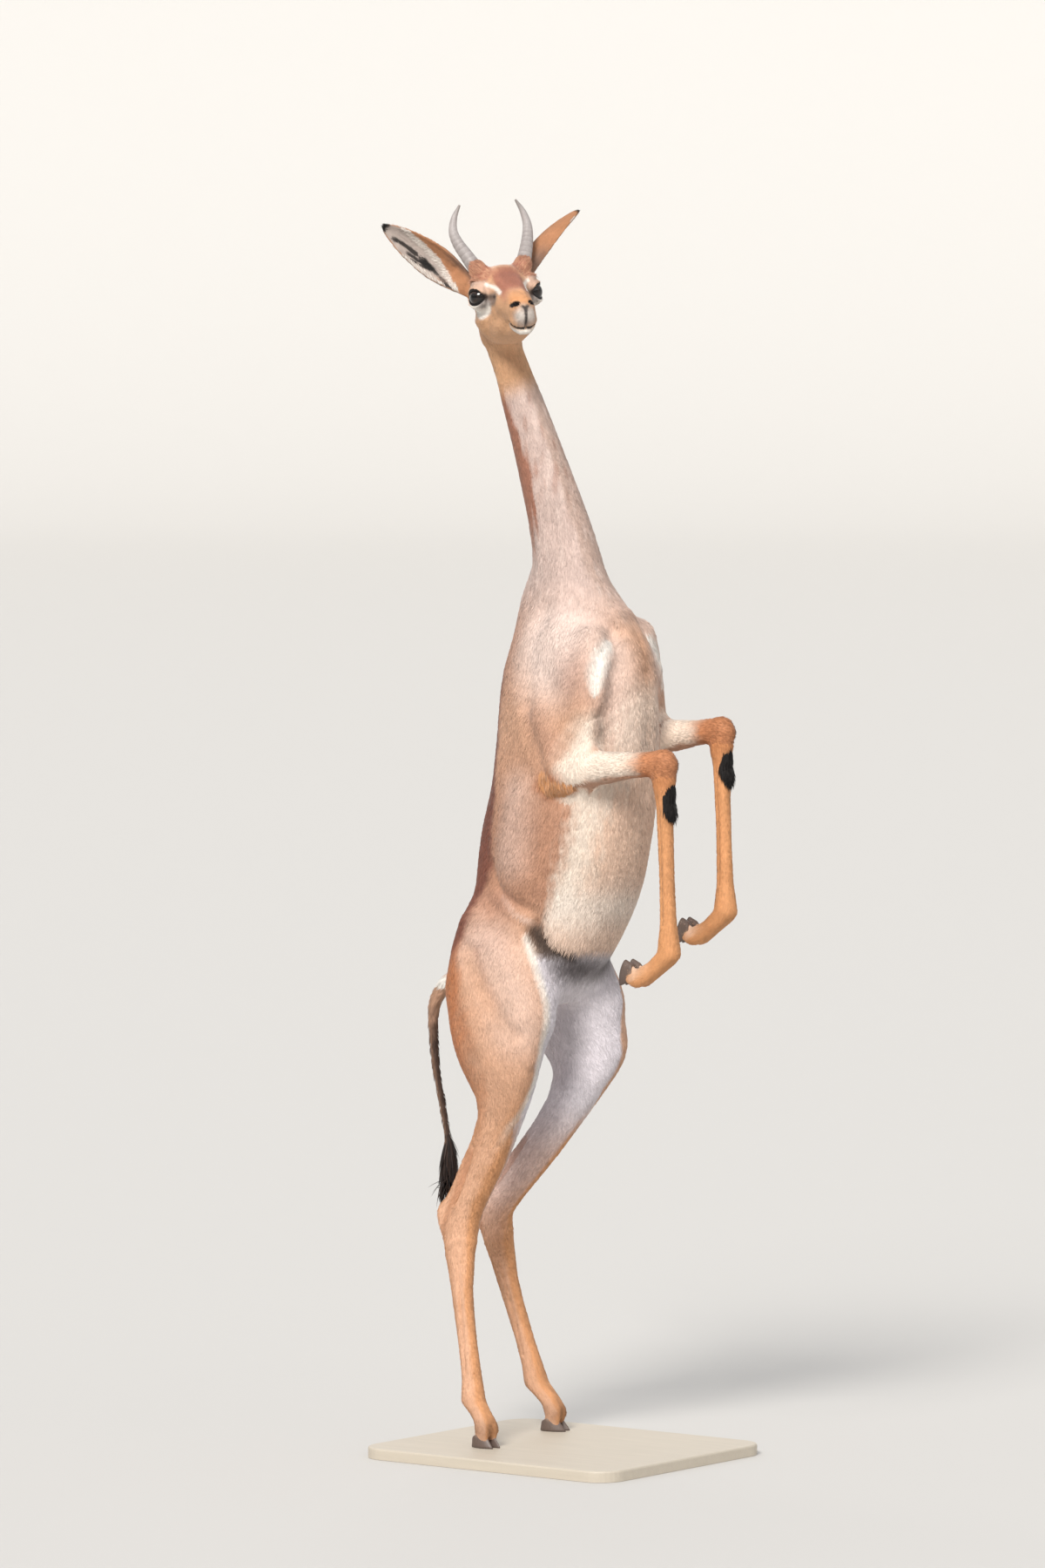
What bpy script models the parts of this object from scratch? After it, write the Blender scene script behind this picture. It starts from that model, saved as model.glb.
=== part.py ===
"""A young male gerenuk standing upright on its hind legs, life size, on a plain flat base.

Metres, +Z up. +X is the way the chest and belly face, +Y is the animal's left. The origin is the
middle of the base's underside.
"""

import math

import bmesh
import bpy
import numpy as np
from mathutils import Matrix, Vector

# The base, and where the point midway between the hind hooves stands on it.
BASE_LENGTH, BASE_WIDTH, BASE_THICKNESS, BASE_CORNER = 0.50, 0.44, 0.018, 0.045
STANCE = Vector((-0.085, 0.0, BASE_THICKNESS))
GAP = 0.0003  # between two pieces that meet

# How finely the flesh is fused, how long its creases are softened, and what it is thinned to.
BODY_VOXEL, HEAD_VOXEL = 0.0032, 0.0018
BODY_ROUNDS, HEAD_ROUNDS = 150, 26
BODY_TRIANGLES, HEAD_TRIANGLES = 4850, 2350
RIGHT, LEFT = -1, 1
SIDE_NAMES = {RIGHT: "right", LEFT: "left"}

# The trunk, from between the thighs up to the root of the neck: forward and up of each centre,
# then half its depth and half its width.
TRUNK = (
    (-0.020, 0.690, 0.056, 0.045),
    (-0.018, 0.760, 0.108, 0.086),
    (0.040, 0.825, 0.122, 0.092),
    (0.068, 0.875, 0.131, 0.099),
    (0.090, 0.935, 0.138, 0.108),
    (0.101, 1.000, 0.141, 0.113),
    (0.109, 1.070, 0.143, 0.112),
    (0.114, 1.140, 0.143, 0.104),
    (0.116, 1.200, 0.143, 0.096),
    (0.115, 1.260, 0.136, 0.087),
    (0.110, 1.315, 0.115, 0.073),
    (0.103, 1.365, 0.084, 0.060),
)
# The neck, from inside the chest to inside the skull: forward, left and up of each centre, then
# half its depth and half its width.
NECK = (
    (0.120, 0.000, 1.290, 0.085, 0.062),
    (0.109, 0.000, 1.350, 0.076, 0.056),
    (0.103, -0.005, 1.405, 0.064, 0.050),
    (0.091, -0.013, 1.475, 0.056, 0.046),
    (0.073, -0.022, 1.545, 0.048, 0.042),
    (0.054, -0.032, 1.615, 0.043, 0.038),
    (0.034, -0.042, 1.685, 0.037, 0.034),
    (0.018, -0.051, 1.740, 0.033, 0.032),
    (0.004, -0.060, 1.785, 0.033, 0.032),
    (0.000, -0.068, 1.815, 0.030, 0.030),
)
# Joints of each leg: forward, left and up.
HIND_JOINTS = {
    RIGHT: {
        "hip": (-0.004, -0.066, 0.775),
        "stifle": (0.058, -0.097, 0.625),
        "hock": (-0.064, -0.071, 0.362),
        "fetlock": (-0.022, -0.098, 0.074),
        "toe": (0.031, -0.105, 0.0),
    },
    LEFT: {
        "hip": (0.004, 0.066, 0.775),
        "stifle": (0.086, 0.098, 0.636),
        "hock": (-0.092, 0.054, 0.366),
        "fetlock": (-0.056, 0.116, 0.078),
        "toe": (0.001, 0.128, 0.0),
    },
}
FORE_JOINTS = {
    RIGHT: {
        "shoulder": (0.198, -0.072, 1.292),
        "elbow": (0.165, -0.104, 1.098),
        "knee": (0.350, -0.090, 1.117),
        "fetlock": (0.355, -0.080, 0.812),
    },
    LEFT: {
        "shoulder": (0.196, 0.070, 1.302),
        "elbow": (0.160, 0.104, 1.136),
        "knee": (0.334, 0.088, 1.160),
        "fetlock": (0.350, 0.080, 0.868),
    },
}
# Hooves: each has two claws, drawn from the tip of the toe back. The fore feet hang bent, with the
# toe at FORE_TOE from the fetlock.
HOOF_LENGTH, HOOF_WIDTH, HOOF_HEIGHT, HOOF_HEEL_HEIGHT = 0.046, 0.0185, 0.027, 0.016
HOOF_SLOPE, HOOF_SPREAD, HOOF_SIDES = math.radians(52), 0.0098, 16
FORE_TOE = (-0.092, 0.0, -0.054)
FORE_SOLE_TURN = math.radians(106)
# Flesh of a hind leg: how far along it (0 hip, 1 stifle, 2 hock, 3 fetlock), how far forward of
# the line of the joints, half its depth and half its width.
HIND_FLESH = (
    (0.00, -0.006, 0.098, 0.060),
    (0.27, 0.006, 0.101, 0.058),
    (0.55, -0.002, 0.102, 0.055),
    (0.80, -0.014, 0.093, 0.051),
    (1.00, -0.018, 0.074, 0.045),
    (1.14, -0.002, 0.057, 0.040),
    (1.30, 0.008, 0.044, 0.035),
    (1.50, 0.014, 0.034, 0.029),
    (1.70, 0.012, 0.029, 0.025),
    (1.87, 0.006, 0.027, 0.023),
    (2.00, 0.001, 0.033, 0.023),
    (2.14, -0.008, 0.030, 0.021),
    (2.28, -0.009, 0.0235, 0.018),
    (2.44, -0.009, 0.0190, 0.0155),
    (2.70, -0.004, 0.0170, 0.0142),
    (2.88, 0.000, 0.0180, 0.0158),
    (3.00, 0.000, 0.0215, 0.0190),
)
# The tendon from the calf to the point of the hock: how far along the leg, how far forward, radius.
TENDON = (
    (1.30, -0.020, 0.016),
    (1.50, -0.026, 0.0105),
    (1.70, -0.032, 0.0085),
    (1.87, -0.038, 0.0085),
    (1.97, -0.044, 0.0115),
    (2.12, -0.030, 0.0105),
)
# Flesh of the forearm (elbow 0 to knee 1) and of the cannon (knee 0 to fetlock 1): how far along,
# half its depth and half its width.
FOREARM_FLESH = (
    (-0.12, 0.036, 0.030),
    (0.05, 0.037, 0.031),
    (0.22, 0.034, 0.028),
    (0.45, 0.027, 0.0235),
    (0.70, 0.0220, 0.0200),
    (0.88, 0.0215, 0.0200),
    (1.00, 0.0220, 0.0205),
)
CANNON_FLESH = (
    (-0.03, 0.0215, 0.0205),
    (0.05, 0.0225, 0.0200),
    (0.13, 0.0185, 0.0170),
    (0.22, 0.0150, 0.0142),
    (0.50, 0.0132, 0.0126),
    (0.80, 0.0142, 0.0134),
    (0.92, 0.0178, 0.0165),
    (1.00, 0.0205, 0.0190),
)
# The tail: forward and up of each centre, and its radius, the last at the start of the tuft.
TAIL = (
    (-0.098, 0.742, 0.020),
    (-0.138, 0.740, 0.0165),
    (-0.165, 0.718, 0.0125),
    (-0.178, 0.680, 0.0100),
    (-0.173, 0.600, 0.0080),
    (-0.156, 0.520, 0.0070),
    (-0.147, 0.470, 0.0066),
    (-0.147, 0.450, 0.0050),
)

# The head. Its own frame has its origin midway between the eyes, X towards the nose, Y to the
# animal's left and Z up.
EYES_MIDWAY = (0.052, -0.109, 1.852)
HEAD_TURN, HEAD_LIFT, HEAD_ROLL = math.radians(-40.5), math.radians(11.5), math.radians(5.5)
EYE_CENTRE, EYE_RADIUS = (0.003, 0.0425, 0.001), 0.0168
EYE_FORWARD = math.radians(30)
HORN_RIDGES, HORN_RIDGE_HEIGHT, HORN_RINGED = 5, 0.0008, 0.66
# The upper head: along X, height of its middle, half its height and half its width.
SKULL = (
    (-0.084, -0.008, 0.026, 0.026),
    (-0.062, 0.000, 0.042, 0.038),
    (-0.032, 0.002, 0.048, 0.0470),
    (0.000, -0.004, 0.046, 0.0455),
    (0.026, -0.014, 0.040, 0.0320),
    (0.052, -0.027, 0.0345, 0.0290),
    (0.078, -0.037, 0.0300, 0.0245),
    (0.098, -0.043, 0.0260, 0.0215),
    (0.111, -0.047, 0.0200, 0.0175),
)
JAW = (
    (-0.056, -0.044, 0.030, 0.032),
    (-0.015, -0.054, 0.026, 0.0300),
    (0.030, -0.0620, 0.0185, 0.0230),
    (0.066, -0.0680, 0.0130, 0.0180),
    (0.090, -0.0720, 0.0095, 0.0140),
    (0.102, -0.0725, 0.0070, 0.0100),
)
# A horn: its centre line in the head's frame, outwards from the middle plane, and its radius.
HORN = (
    (-0.0120, 0.0330, 0.0340, 0.0130),
    (-0.0160, 0.0405, 0.0540, 0.0126),
    (-0.0240, 0.0495, 0.0760, 0.0112),
    (-0.0350, 0.0575, 0.0980, 0.0096),
    (-0.0410, 0.0610, 0.1190, 0.0076),
    (-0.0400, 0.0565, 0.1400, 0.0052),
    (-0.0350, 0.0460, 0.1590, 0.0016),
)
# An ear: how far along it, half its width and the depth of its cup.
EAR_PROFILE = (
    (0.00, 0.0125, 0.0180),
    (0.10, 0.0155, 0.0200),
    (0.25, 0.0225, 0.0185),
    (0.42, 0.0270, 0.0160),
    (0.60, 0.0250, 0.0130),
    (0.78, 0.0190, 0.0090),
    (0.92, 0.0105, 0.0050),
    (1.00, 0.0030, 0.0018),
)
EAR_WALL = 0.0058
EAR_LENGTH = 0.182
# Root, direction of the tip and way the opening faces, in the head's frame, for each ear.
EARS = {
    RIGHT: ((-0.046, -0.038, 0.018), (-0.13, -0.72, 0.70), (0.80, -0.30, -0.20)),
    LEFT: ((-0.048, 0.038, 0.018), (-0.28, 0.69, 0.68), (-0.35, 0.75, -0.40)),
}


# The cuts across the neck: a point on each and the way it faces, from midway between the hooves.
NECK_TOP, NECK_TOP_NORMAL = (0.010, -0.0556, 1.775), (-0.05, -0.03, 1.0)
NECK_FOOT, NECK_FOOT_NORMAL = (0.106, 0.0, 1.385), (-0.10, 0, 1.0)
TAIL_ROOT, TAIL_ROOT_NORMAL = (-0.132, 0.0, 0.735), (-0.90, 0, -0.42)
LID_LENGTH, LID_HEIGHT, LID_SIDES = 0.0160, 0.0140, 20
COLOURS = {
    "stand_base": ((0.55, 0.50, 0.43), 0.5),
    "horn": ((0.40, 0.37, 0.36), 0.5),
    "hoof": ((0.12, 0.08, 0.06), 0.5),
    "eye": ((0.02, 0.012, 0.008), 0.1),
    "ear": ((0.58, 0.36, 0.17), 0.9),
    "head": ((0.54, 0.25, 0.15), 0.9),
    "neck": ((0.75, 0.55, 0.48), 0.9),
    "torso": ((0.62, 0.37, 0.25), 0.9),
    "tail": ((0.07, 0.05, 0.04), 0.9),
    "thigh": ((0.80, 0.50, 0.35), 0.9),
    "shank": ((0.78, 0.48, 0.29), 0.9),
    "cannon": ((0.72, 0.40, 0.18), 0.9),
    "forearm": ((0.85, 0.70, 0.58), 0.9),
}


def at(forward, left, up):
    """A point given from midway between the hind hooves, in the part's own frame."""
    return Vector((forward, left, up)) + STANCE


def head_frame():
    """The matrix that takes the head's own frame to the part's."""
    turn = Matrix.Rotation(HEAD_TURN, 4, "Z")
    lift = Matrix.Rotation(-HEAD_LIFT, 4, "Y")
    roll = Matrix.Rotation(HEAD_ROLL, 4, "X")
    return Matrix.Translation(at(*EYES_MIDWAY)) @ turn @ lift @ roll


def smooth_rows(rows, steps):
    """Rows of numbers joined by a Catmull-Rom curve, with steps new rows for each old one."""
    rows = np.asarray(rows, float)
    ends = np.vstack([2 * rows[0] - rows[1], rows, 2 * rows[-1] - rows[-2]])
    made = []
    for i in range(1, len(ends) - 2):
        a, b, c, d = ends[i - 1 : i + 3]
        for t in np.arange(steps) / steps:
            made.append(
                0.5 * (2 * b + (c - a) * t + (2 * a - 5 * b + 4 * c - d) * t**2)
                + 0.5 * (3 * b - a - 3 * c + d) * t**3
            )
    made.append(rows[-1])
    return np.array(made)


def loft(rows, front, sides=28, steps=5, cap=0.7, smooth=True):
    """Points and faces of a closed tube through rows of (x, y, z, half depth, half width).

    front is the way that the depth runs. Each end is closed by a rounded cap, as long as cap times
    the smaller half size there, or flat where cap is 0.
    """
    rows = smooth_rows(rows, steps) if smooth else np.asarray(rows, float)
    centres, sizes = rows[:, :3], rows[:, 3:5]
    tangents = np.gradient(centres, axis=0)
    tangents /= np.linalg.norm(tangents, axis=1)[:, None]
    if cap:
        turns = np.radians((85, 65, 40, 20))
        for end, order, sign in ((0, turns, -1), (-1, turns[::-1], 1)):
            reach = sizes[end].min() * cap
            extra = centres[end] + sign * np.outer(np.sin(order) * reach, tangents[end])
            shrunk = np.outer(np.cos(order), sizes[end])
            same = np.repeat(tangents[[end]], len(order), axis=0)
            parts = ((extra, centres), (shrunk, sizes), (same, tangents))
            parts = parts if sign < 0 else tuple(pair[::-1] for pair in parts)
            centres, sizes, tangents = (np.vstack(pair) for pair in parts)
    front = np.asarray(front, float)
    fronts = front - (tangents @ front)[:, None] * tangents
    fronts /= np.linalg.norm(fronts, axis=1)[:, None]
    across = np.cross(tangents, fronts)
    angle = np.arange(sides) * 2 * math.pi / sides
    depth = sizes[:, :1, None] * np.cos(angle)[None, :, None] * fronts[:, None, :]
    width = sizes[:, 1:, None] * np.sin(angle)[None, :, None] * across[:, None, :]
    points = (centres[:, None, :] + depth + width).reshape(-1, 3)
    faces = []
    for ring in range(len(centres) - 1):
        for k in range(sides):
            low, next_low = ring * sides + k, ring * sides + (k + 1) % sides
            faces.append((low, next_low, next_low + sides, low + sides))
    faces.append(tuple(range(sides - 1, -1, -1)))
    faces.append(tuple(range(len(points) - sides, len(points))))
    return points, faces


def spindle(start, end, half_depth, half_width, front, fullness=0.5):
    """A muscle: a tube from start to end that is thickest in the middle and rounds off at its ends."""
    start, end = np.asarray(start, float), np.asarray(end, float)
    rows = []
    for t in np.linspace(0.0, 1.0, 9):
        swell = max(0.12, 1 - (2 * t - 1) ** 2) ** fullness
        rows.append((*(start + t * (end - start)), half_depth * swell, half_width * swell))
    return loft(rows, front, steps=1, smooth=False)


def grown(form, distance):
    """A form pushed out along its normals."""
    if not distance:
        return form
    points, faces = form
    normals = np.zeros_like(points)
    for face in faces:
        corners = points[list(face)]
        normal = np.cross(corners - corners[0], np.roll(corners, -1, axis=0) - corners[0]).sum(axis=0)
        normals[list(face)] += normal / np.linalg.norm(normal)
    normals /= np.linalg.norm(normals, axis=1)[:, None]
    return points + normals * distance, faces


def ball(centre, radii, turn=None):
    """A closed ellipsoid with the given three radii, turned by a rotation matrix if one is given."""
    steps = np.linspace(-math.pi / 2, math.pi / 2, 13)[1:-1]
    rows = [(0, 0, radii[2] * math.sin(t), radii[0] * math.cos(t), radii[1] * math.cos(t)) for t in steps]
    points, faces = loft(rows, (1, 0, 0), sides=24, steps=1, cap=0, smooth=False)
    if turn is not None:
        points = points @ np.array(turn.to_3x3(), float).T
    return points + np.asarray(centre, float), faces


def moved(form, matrix):
    """A form's points taken through a matrix."""
    points, faces = form
    grid = np.array(matrix, float)
    return points @ grid[:3, :3].T + grid[:3, 3], faces


def placed_rows(rows):
    """Rows of (forward, left, up, half depth, half width) with the first three in the part's frame."""
    return [(*at(*row[:3]), *row[3:]) for row in rows]


def along_joints(joints, names, place):
    """The point that lies place joints along a leg, 0 being the first name."""
    index = min(int(max(place, 0.0)), len(names) - 2)
    first, second = (Vector(joints[name]) for name in names[index : index + 2])
    return first + (second - first) * (place - index)


def trunk_forms():
    """Chest, belly and pelvis, with the keel of the breast and the muscles of loin and groin."""
    forms = [loft(placed_rows([(u, 0.0, z, a, b) for u, z, a, b in TRUNK]), (1, 0, 0), sides=40)]
    front = (1, 0, 0)
    forms.append(spindle(at(0.200, 0, 1.350), at(0.222, 0, 1.00), 0.040, 0.044, front))
    for side in (RIGHT, LEFT):
        forms += [
            spindle(at(0.085, side * 0.070, 1.06), at(0.060, side * 0.064, 0.855), 0.070, 0.042, front),
            spindle(at(0.012, side * 0.034, 1.12), at(-0.036, side * 0.040, 0.80), 0.040, 0.036, front),
            spindle(at(0.070, side * 0.030, 0.86), at(0.058, side * 0.066, 0.72), 0.046, 0.028, front),
        ]
    forms.append(spindle(at(0.168, 0, 0.850), at(0.152, 0, 0.770), 0.020, 0.018, front))
    return forms


def neck_forms():
    """The neck, thickened behind where it rises from the withers."""
    forms = [loft(placed_rows(NECK), (1, 0, 0), sides=32)]
    forms.append(spindle(at(0.026, 0, 1.15), at(0.056, -0.004, 1.44), 0.046, 0.042, (1, 0, 0)))
    return forms


def shoulder_forms(side, joints):
    """The muscles over the shoulder blade, the upper arm and the point of the elbow."""
    shoulder, elbow = Vector(joints["shoulder"]), Vector(joints["elbow"])
    front = (0, side, 0)
    raised = elbow.z - FORE_JOINTS[RIGHT]["elbow"][2]
    top = Vector((0.040, side * 0.058, 1.270))
    return [
        spindle(at(*top), at(*(shoulder + Vector((-0.006, side * 0.002, -0.012)))), 0.026, 0.064, front),
        spindle(at(0.056, side * 0.072, 1.220), at(*(elbow + Vector((-0.004, 0, 0.016)))), 0.028, 0.060, front),
        spindle(at(*(shoulder + Vector((0, 0, 0.030)))), at(*(elbow + Vector((0.016, 0, -0.004)))), 0.024, 0.044, front),
        spindle(at(0.085, side * 0.074, 1.150 + raised), at(*(elbow + Vector((0.010, 0, -0.016)))), 0.024, 0.042, front),
        ball(at(*(shoulder + Vector((-0.004, side * -0.008, 0)))), (0.036, 0.026, 0.040)),
        ball(at(*(elbow + Vector((-0.020, side * 0.003, -0.016)))), (0.020, 0.018, 0.021)),
    ]


def foreleg_forms(side, joints):
    """Forearm, knee and cannon of one foreleg."""
    elbow, knee, fetlock = (Vector(joints[name]) for name in ("elbow", "knee", "fetlock"))
    arm_rows = [(*at(*elbow.lerp(knee, t)), a, b) for t, a, b in FOREARM_FLESH]
    cannon_rows = [(*at(*knee.lerp(fetlock, t)), a, b) for t, a, b in CANNON_FLESH]
    joint = ball(at(*(knee + Vector((0.004, 0, -0.004)))), (0.0235, 0.0215, 0.0240))
    heel = ball(at(*(fetlock + Vector((-0.008, 0, -0.002)))), (0.015, 0.0165, 0.015))
    lengths = [loft(arm_rows, (0, 0, 1)), loft(cannon_rows, (1, 0, 0)), joint, heel]
    return lengths + digit_forms(joints, False)


def hind_leg_forms(side, joints):
    """Thigh, shank with its tendon, hock and cannon of one hind leg."""
    names = ("hip", "stifle", "hock", "fetlock")

    def row(place, forward, a, b):
        return (*at(*(along_joints(joints, names, place) + Vector((forward, 0, 0)))), a, b)

    leg = loft([row(*flesh) for flesh in HIND_FLESH], (1, 0, 0), sides=32)
    tendon = loft([row(place, forward, r, r) for place, forward, r in TENDON], (1, 0, 0), sides=16)
    hip, stifle = Vector(joints["hip"]), Vector(joints["stifle"])
    front = (1, 0, 0)
    haunch = spindle(
        at(*(hip + Vector((-0.030, side * 0.002, 0.105)))),
        at(*(stifle + Vector((-0.062, side * 0.004, -0.050)))),
        0.060, 0.047, front,
    )
    thigh_front = spindle(
        at(*(hip + Vector((0.036, side * 0.008, 0.100)))), at(*(stifle + Vector((0.008, 0, -0.055)))),
        0.052, 0.040, front,
    )
    kneecap = ball(at(*(stifle + Vector((0.020, 0, 0.002)))), (0.025, 0.026, 0.046))
    return [leg, tendon, haunch, thigh_front, kneecap] + digit_forms(joints, True)


def tail_form():
    """The tail without its tuft."""
    return loft(placed_rows([(u, 0.0, z, r, r) for u, z, r in TAIL]), (1, 0, 0), sides=16)


def foot_frame(joints, hind):
    """The frame of a foot: origin at the tip of its toes, X forward along the sole, Z into the leg."""
    if hind:
        toe, fetlock = Vector(joints["toe"]), Vector(joints["fetlock"])
        heading = Vector((toe.x - fetlock.x, toe.y - fetlock.y, 0)).normalized()
        return Matrix.Translation(at(*toe)) @ Matrix.Rotation(math.atan2(heading.y, heading.x), 4, "Z")
    tip = Vector(joints["fetlock"]) + Vector(FORE_TOE)
    return Matrix.Translation(at(*tip)) @ Matrix.Rotation(FORE_SOLE_TURN, 4, "Y")


def hoof_form(frame, claw, grow=0.0):
    """One claw of a hoof, flat below and sloping to a raked rim. claw is -1 or 1 across the foot."""
    points, faces = [], []
    levels = 4
    for level in range(levels):
        share = level / (levels - 1)
        front = -HOOF_HEIGHT * share / math.tan(HOOF_SLOPE)
        back = -HOOF_LENGTH + 0.10 * HOOF_HEIGHT * share
        for k in range(HOOF_SIDES):
            angle = 2 * math.pi * k / HOOF_SIDES
            along = 0.5 - 0.5 * math.cos(angle)
            half = HOOF_WIDTH / 2 * (1 - 0.10 * share) * (1 - 0.50 * along**3)
            across = half * math.sin(angle)
            if across * claw < 0:
                across *= 0.72
            across += claw * (HOOF_SPREAD - 0.0015 * along)
            rise = HOOF_HEEL_HEIGHT + (HOOF_HEIGHT - HOOF_HEEL_HEIGHT) * along
            points.append((back + (front - back) * along, across, rise * share))
    for level in range(levels - 1):
        for k in range(HOOF_SIDES):
            low, next_low = level * HOOF_SIDES + k, level * HOOF_SIDES + (k + 1) % HOOF_SIDES
            faces.append((low, low + HOOF_SIDES, next_low + HOOF_SIDES, next_low))
    faces.append(tuple(range(HOOF_SIDES)))
    faces.append(tuple(range(levels * HOOF_SIDES - 1, (levels - 1) * HOOF_SIDES - 1, -1)))
    return grown(moved((np.array(points, float), faces), frame), grow)


def digit_forms(joints, hind):
    """The two pasterns of a foot, from the fetlock into the rims of the hooves."""
    frame = foot_frame(joints, hind)
    fetlock = at(*joints["fetlock"])
    forms = []
    for claw in (-1, 1):
        rim = frame @ Vector((-0.56 * HOOF_LENGTH, claw * HOOF_SPREAD, 0.72 * HOOF_HEEL_HEIGHT))
        above = frame @ Vector((-0.50 * HOOF_LENGTH, claw * HOOF_SPREAD, HOOF_HEIGHT + 0.002))
        bend = fetlock.lerp(above, 0.55) + frame.to_3x3() @ Vector((0.004, 0, 0.001))
        start = fetlock + frame.to_3x3() @ Vector((0, claw * 0.0070, 0))
        rows = [
            (*start, 0.0165, 0.0110),
            (*bend, 0.0150, 0.0108),
            (*above, 0.0170, 0.0102),
            (*rim, 0.0130, 0.0060),
        ]
        forms.append(loft(rows, frame.to_3x3() @ Vector((1, 0, 0.2)), sides=16, cap=0.3))
    return forms


def skull_forms():
    """The head in its own frame: skull, jaws, brows, cheeks, lips and the pedicles of the horns."""
    up = (0, 0, 1)
    forms = [
        loft([(x, 0, z, a, b) for x, z, a, b in SKULL], up, sides=36),
        loft([(x, 0, z, a, b) for x, z, a, b in JAW], up, sides=28),
        ball((-0.012, 0, 0.030), (0.038, 0.036, 0.022)),
        ball((0.112, 0, -0.036), (0.0095, 0.0160, 0.0110)),
        ball((0.100, 0, -0.060), (0.0100, 0.0140, 0.0100)),
        ball((0.092, 0, -0.0750), (0.0140, 0.0125, 0.0075)),
        spindle((-0.064, 0, -0.016), (-0.040, 0, -0.058), 0.032, 0.032, (1, 0, 0)),
    ]
    for side in (RIGHT, LEFT):
        forms += [
            ball((-0.001, side * 0.0395, 0.001), (0.0240, 0.0190, 0.0225)),
            ball((-0.006, side * 0.0380, 0.0210), (0.0250, 0.0160, 0.0100)),
            ball((-0.026, side * 0.0260, -0.030), (0.0330, 0.0200, 0.0320)),
            spindle((-0.040, side * 0.026, -0.040), (0.062, side * 0.017, -0.055), 0.021, 0.013, up),
            ball((0.094, side * 0.0110, -0.0580), (0.0190, 0.0120, 0.0130)),
            spindle((-0.0090, side * 0.0270, 0.022), (-0.0170, side * 0.0400, 0.060), 0.0185, 0.0170, (1, 0, 0)),
            ball((-0.050, side * 0.036, 0.014), (0.021, 0.014, 0.021)),
        ]
    return forms


def ear_form(side):
    """One ear in the head's frame: a leaf with a rolled root, cupped towards its opening."""
    root, way, opening = (Vector(v) for v in EARS[side])
    way = way.normalized()
    opening = (opening - way * opening.dot(way)).normalized()
    across = way.cross(opening)
    half_ring = 8
    rings = []
    for t, width, depth in smooth_rows(EAR_PROFILE, 2):
        middle = root + way * (t * EAR_LENGTH) - opening * (0.010 * math.sin(math.pi * min(t, 1.0)))
        curl = math.radians(96 - 34 * min(1.0, t * 2.0))
        hollow = min(1.0, max(0.0, (t - 0.12) / 0.12))
        wall = min(EAR_WALL, width * 0.9) / 2
        outline = []
        for shell, sign in ((wall, 1), (-wall, -1)):
            for k in range(half_ring):
                share = (2 * k / (half_ring - 1) - 1) * sign
                bend = share * curl
                thin = 1 - 0.45 * abs(share) ** 4
                spread = math.sin(bend) / math.sin(min(curl, math.pi / 2))
                sunk = (math.cos(bend) - math.cos(curl)) / (1 - math.cos(curl))
                normal = (across * math.sin(bend) * width + opening * -math.cos(bend) * depth).normalized()
                deep = depth * sunk * (1.0 if sign > 0 else hollow)
                place = middle + across * width * spread - opening * deep
                outline.append(place + normal * shell * thin)
        rings.append(outline)
    sides = len(rings[0])
    points = np.array([p for ring in rings for p in ring], float)
    faces = []
    for ring in range(len(rings) - 1):
        for k in range(sides):
            low, next_low = ring * sides + k, ring * sides + (k + 1) % sides
            faces.append((low, low + sides, next_low + sides))
            faces.append((low, next_low + sides, next_low))
    faces.append(tuple(range(sides)))
    faces.append(tuple(range(len(points) - 1, len(points) - sides - 1, -1)))
    return points, faces


def horn_form(side, grow=0.0):
    """A horn in the head's frame, with the low rings that run up its lower two thirds."""
    rows = smooth_rows([(x, side * y, z, r, r) for x, y, z, r in HORN], 5)
    share = np.linspace(0, 1, len(rows))
    ring = np.maximum(0, np.cos(share / HORN_RINGED * HORN_RIDGES * 2 * math.pi))
    rows[:, 3] += HORN_RIDGE_HEIGHT * ring * np.clip((HORN_RINGED - share) / 0.08, 0, 1)
    rows[:, 4] = rows[:, 3] * 0.92
    return grown(loft(rows, (1, 0, 0), sides=10, steps=1, cap=0.5, smooth=False), grow)


def eye_form(side, grow=0.0):
    """An eyeball in the head's frame."""
    x, y, z = EYE_CENTRE
    radius = EYE_RADIUS + grow
    return ball((x, side * y, z), (radius, radius, radius), Matrix.Rotation(math.radians(90), 4, "X"))


def lid_opening(side):
    """The almond between the lids, as a cutter that widens outwards from the eyeball."""
    x, y, z = EYE_CENTRE
    turn = Matrix.Translation((x, side * y, z)) @ Matrix.Rotation(-side * EYE_FORWARD, 4, "Z")
    points = []
    for depth, scale in ((0.004, 0.78), (0.014, 1.0), (0.034, 1.3)):
        for k in range(LID_SIDES):
            angle = 2 * math.pi * k / LID_SIDES
            along = math.cos(angle)
            height = LID_HEIGHT * abs(math.sin(angle)) ** 1.25 * (1 if angle < math.pi else -0.82)
            slant = 0.14 * along * LID_LENGTH
            points.append((scale * LID_LENGTH * along, side * depth, scale * (height - slant)))
    faces = [tuple(range(LID_SIDES - 1, -1, -1)), tuple(range(2 * LID_SIDES, 3 * LID_SIDES))]
    for ring in range(2):
        for k in range(LID_SIDES):
            low, next_low = ring * LID_SIDES + k, ring * LID_SIDES + (k + 1) % LID_SIDES
            faces.append((low, next_low, next_low + LID_SIDES, low + LID_SIDES))
    if side > 0:
        faces = [face[::-1] for face in faces]
    return moved((np.array(points, float), faces), turn)


def nostril_form(side):
    """The hollow of a nostril, a slanting comma, as a cutter in the head's frame."""
    turn = Matrix.Rotation(math.radians(side * 40), 4, "Z") @ Matrix.Rotation(math.radians(30), 4, "Y")
    return ball((0.1165, side * 0.0125, -0.0330), (0.0080, 0.0036, 0.0044), turn)


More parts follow.
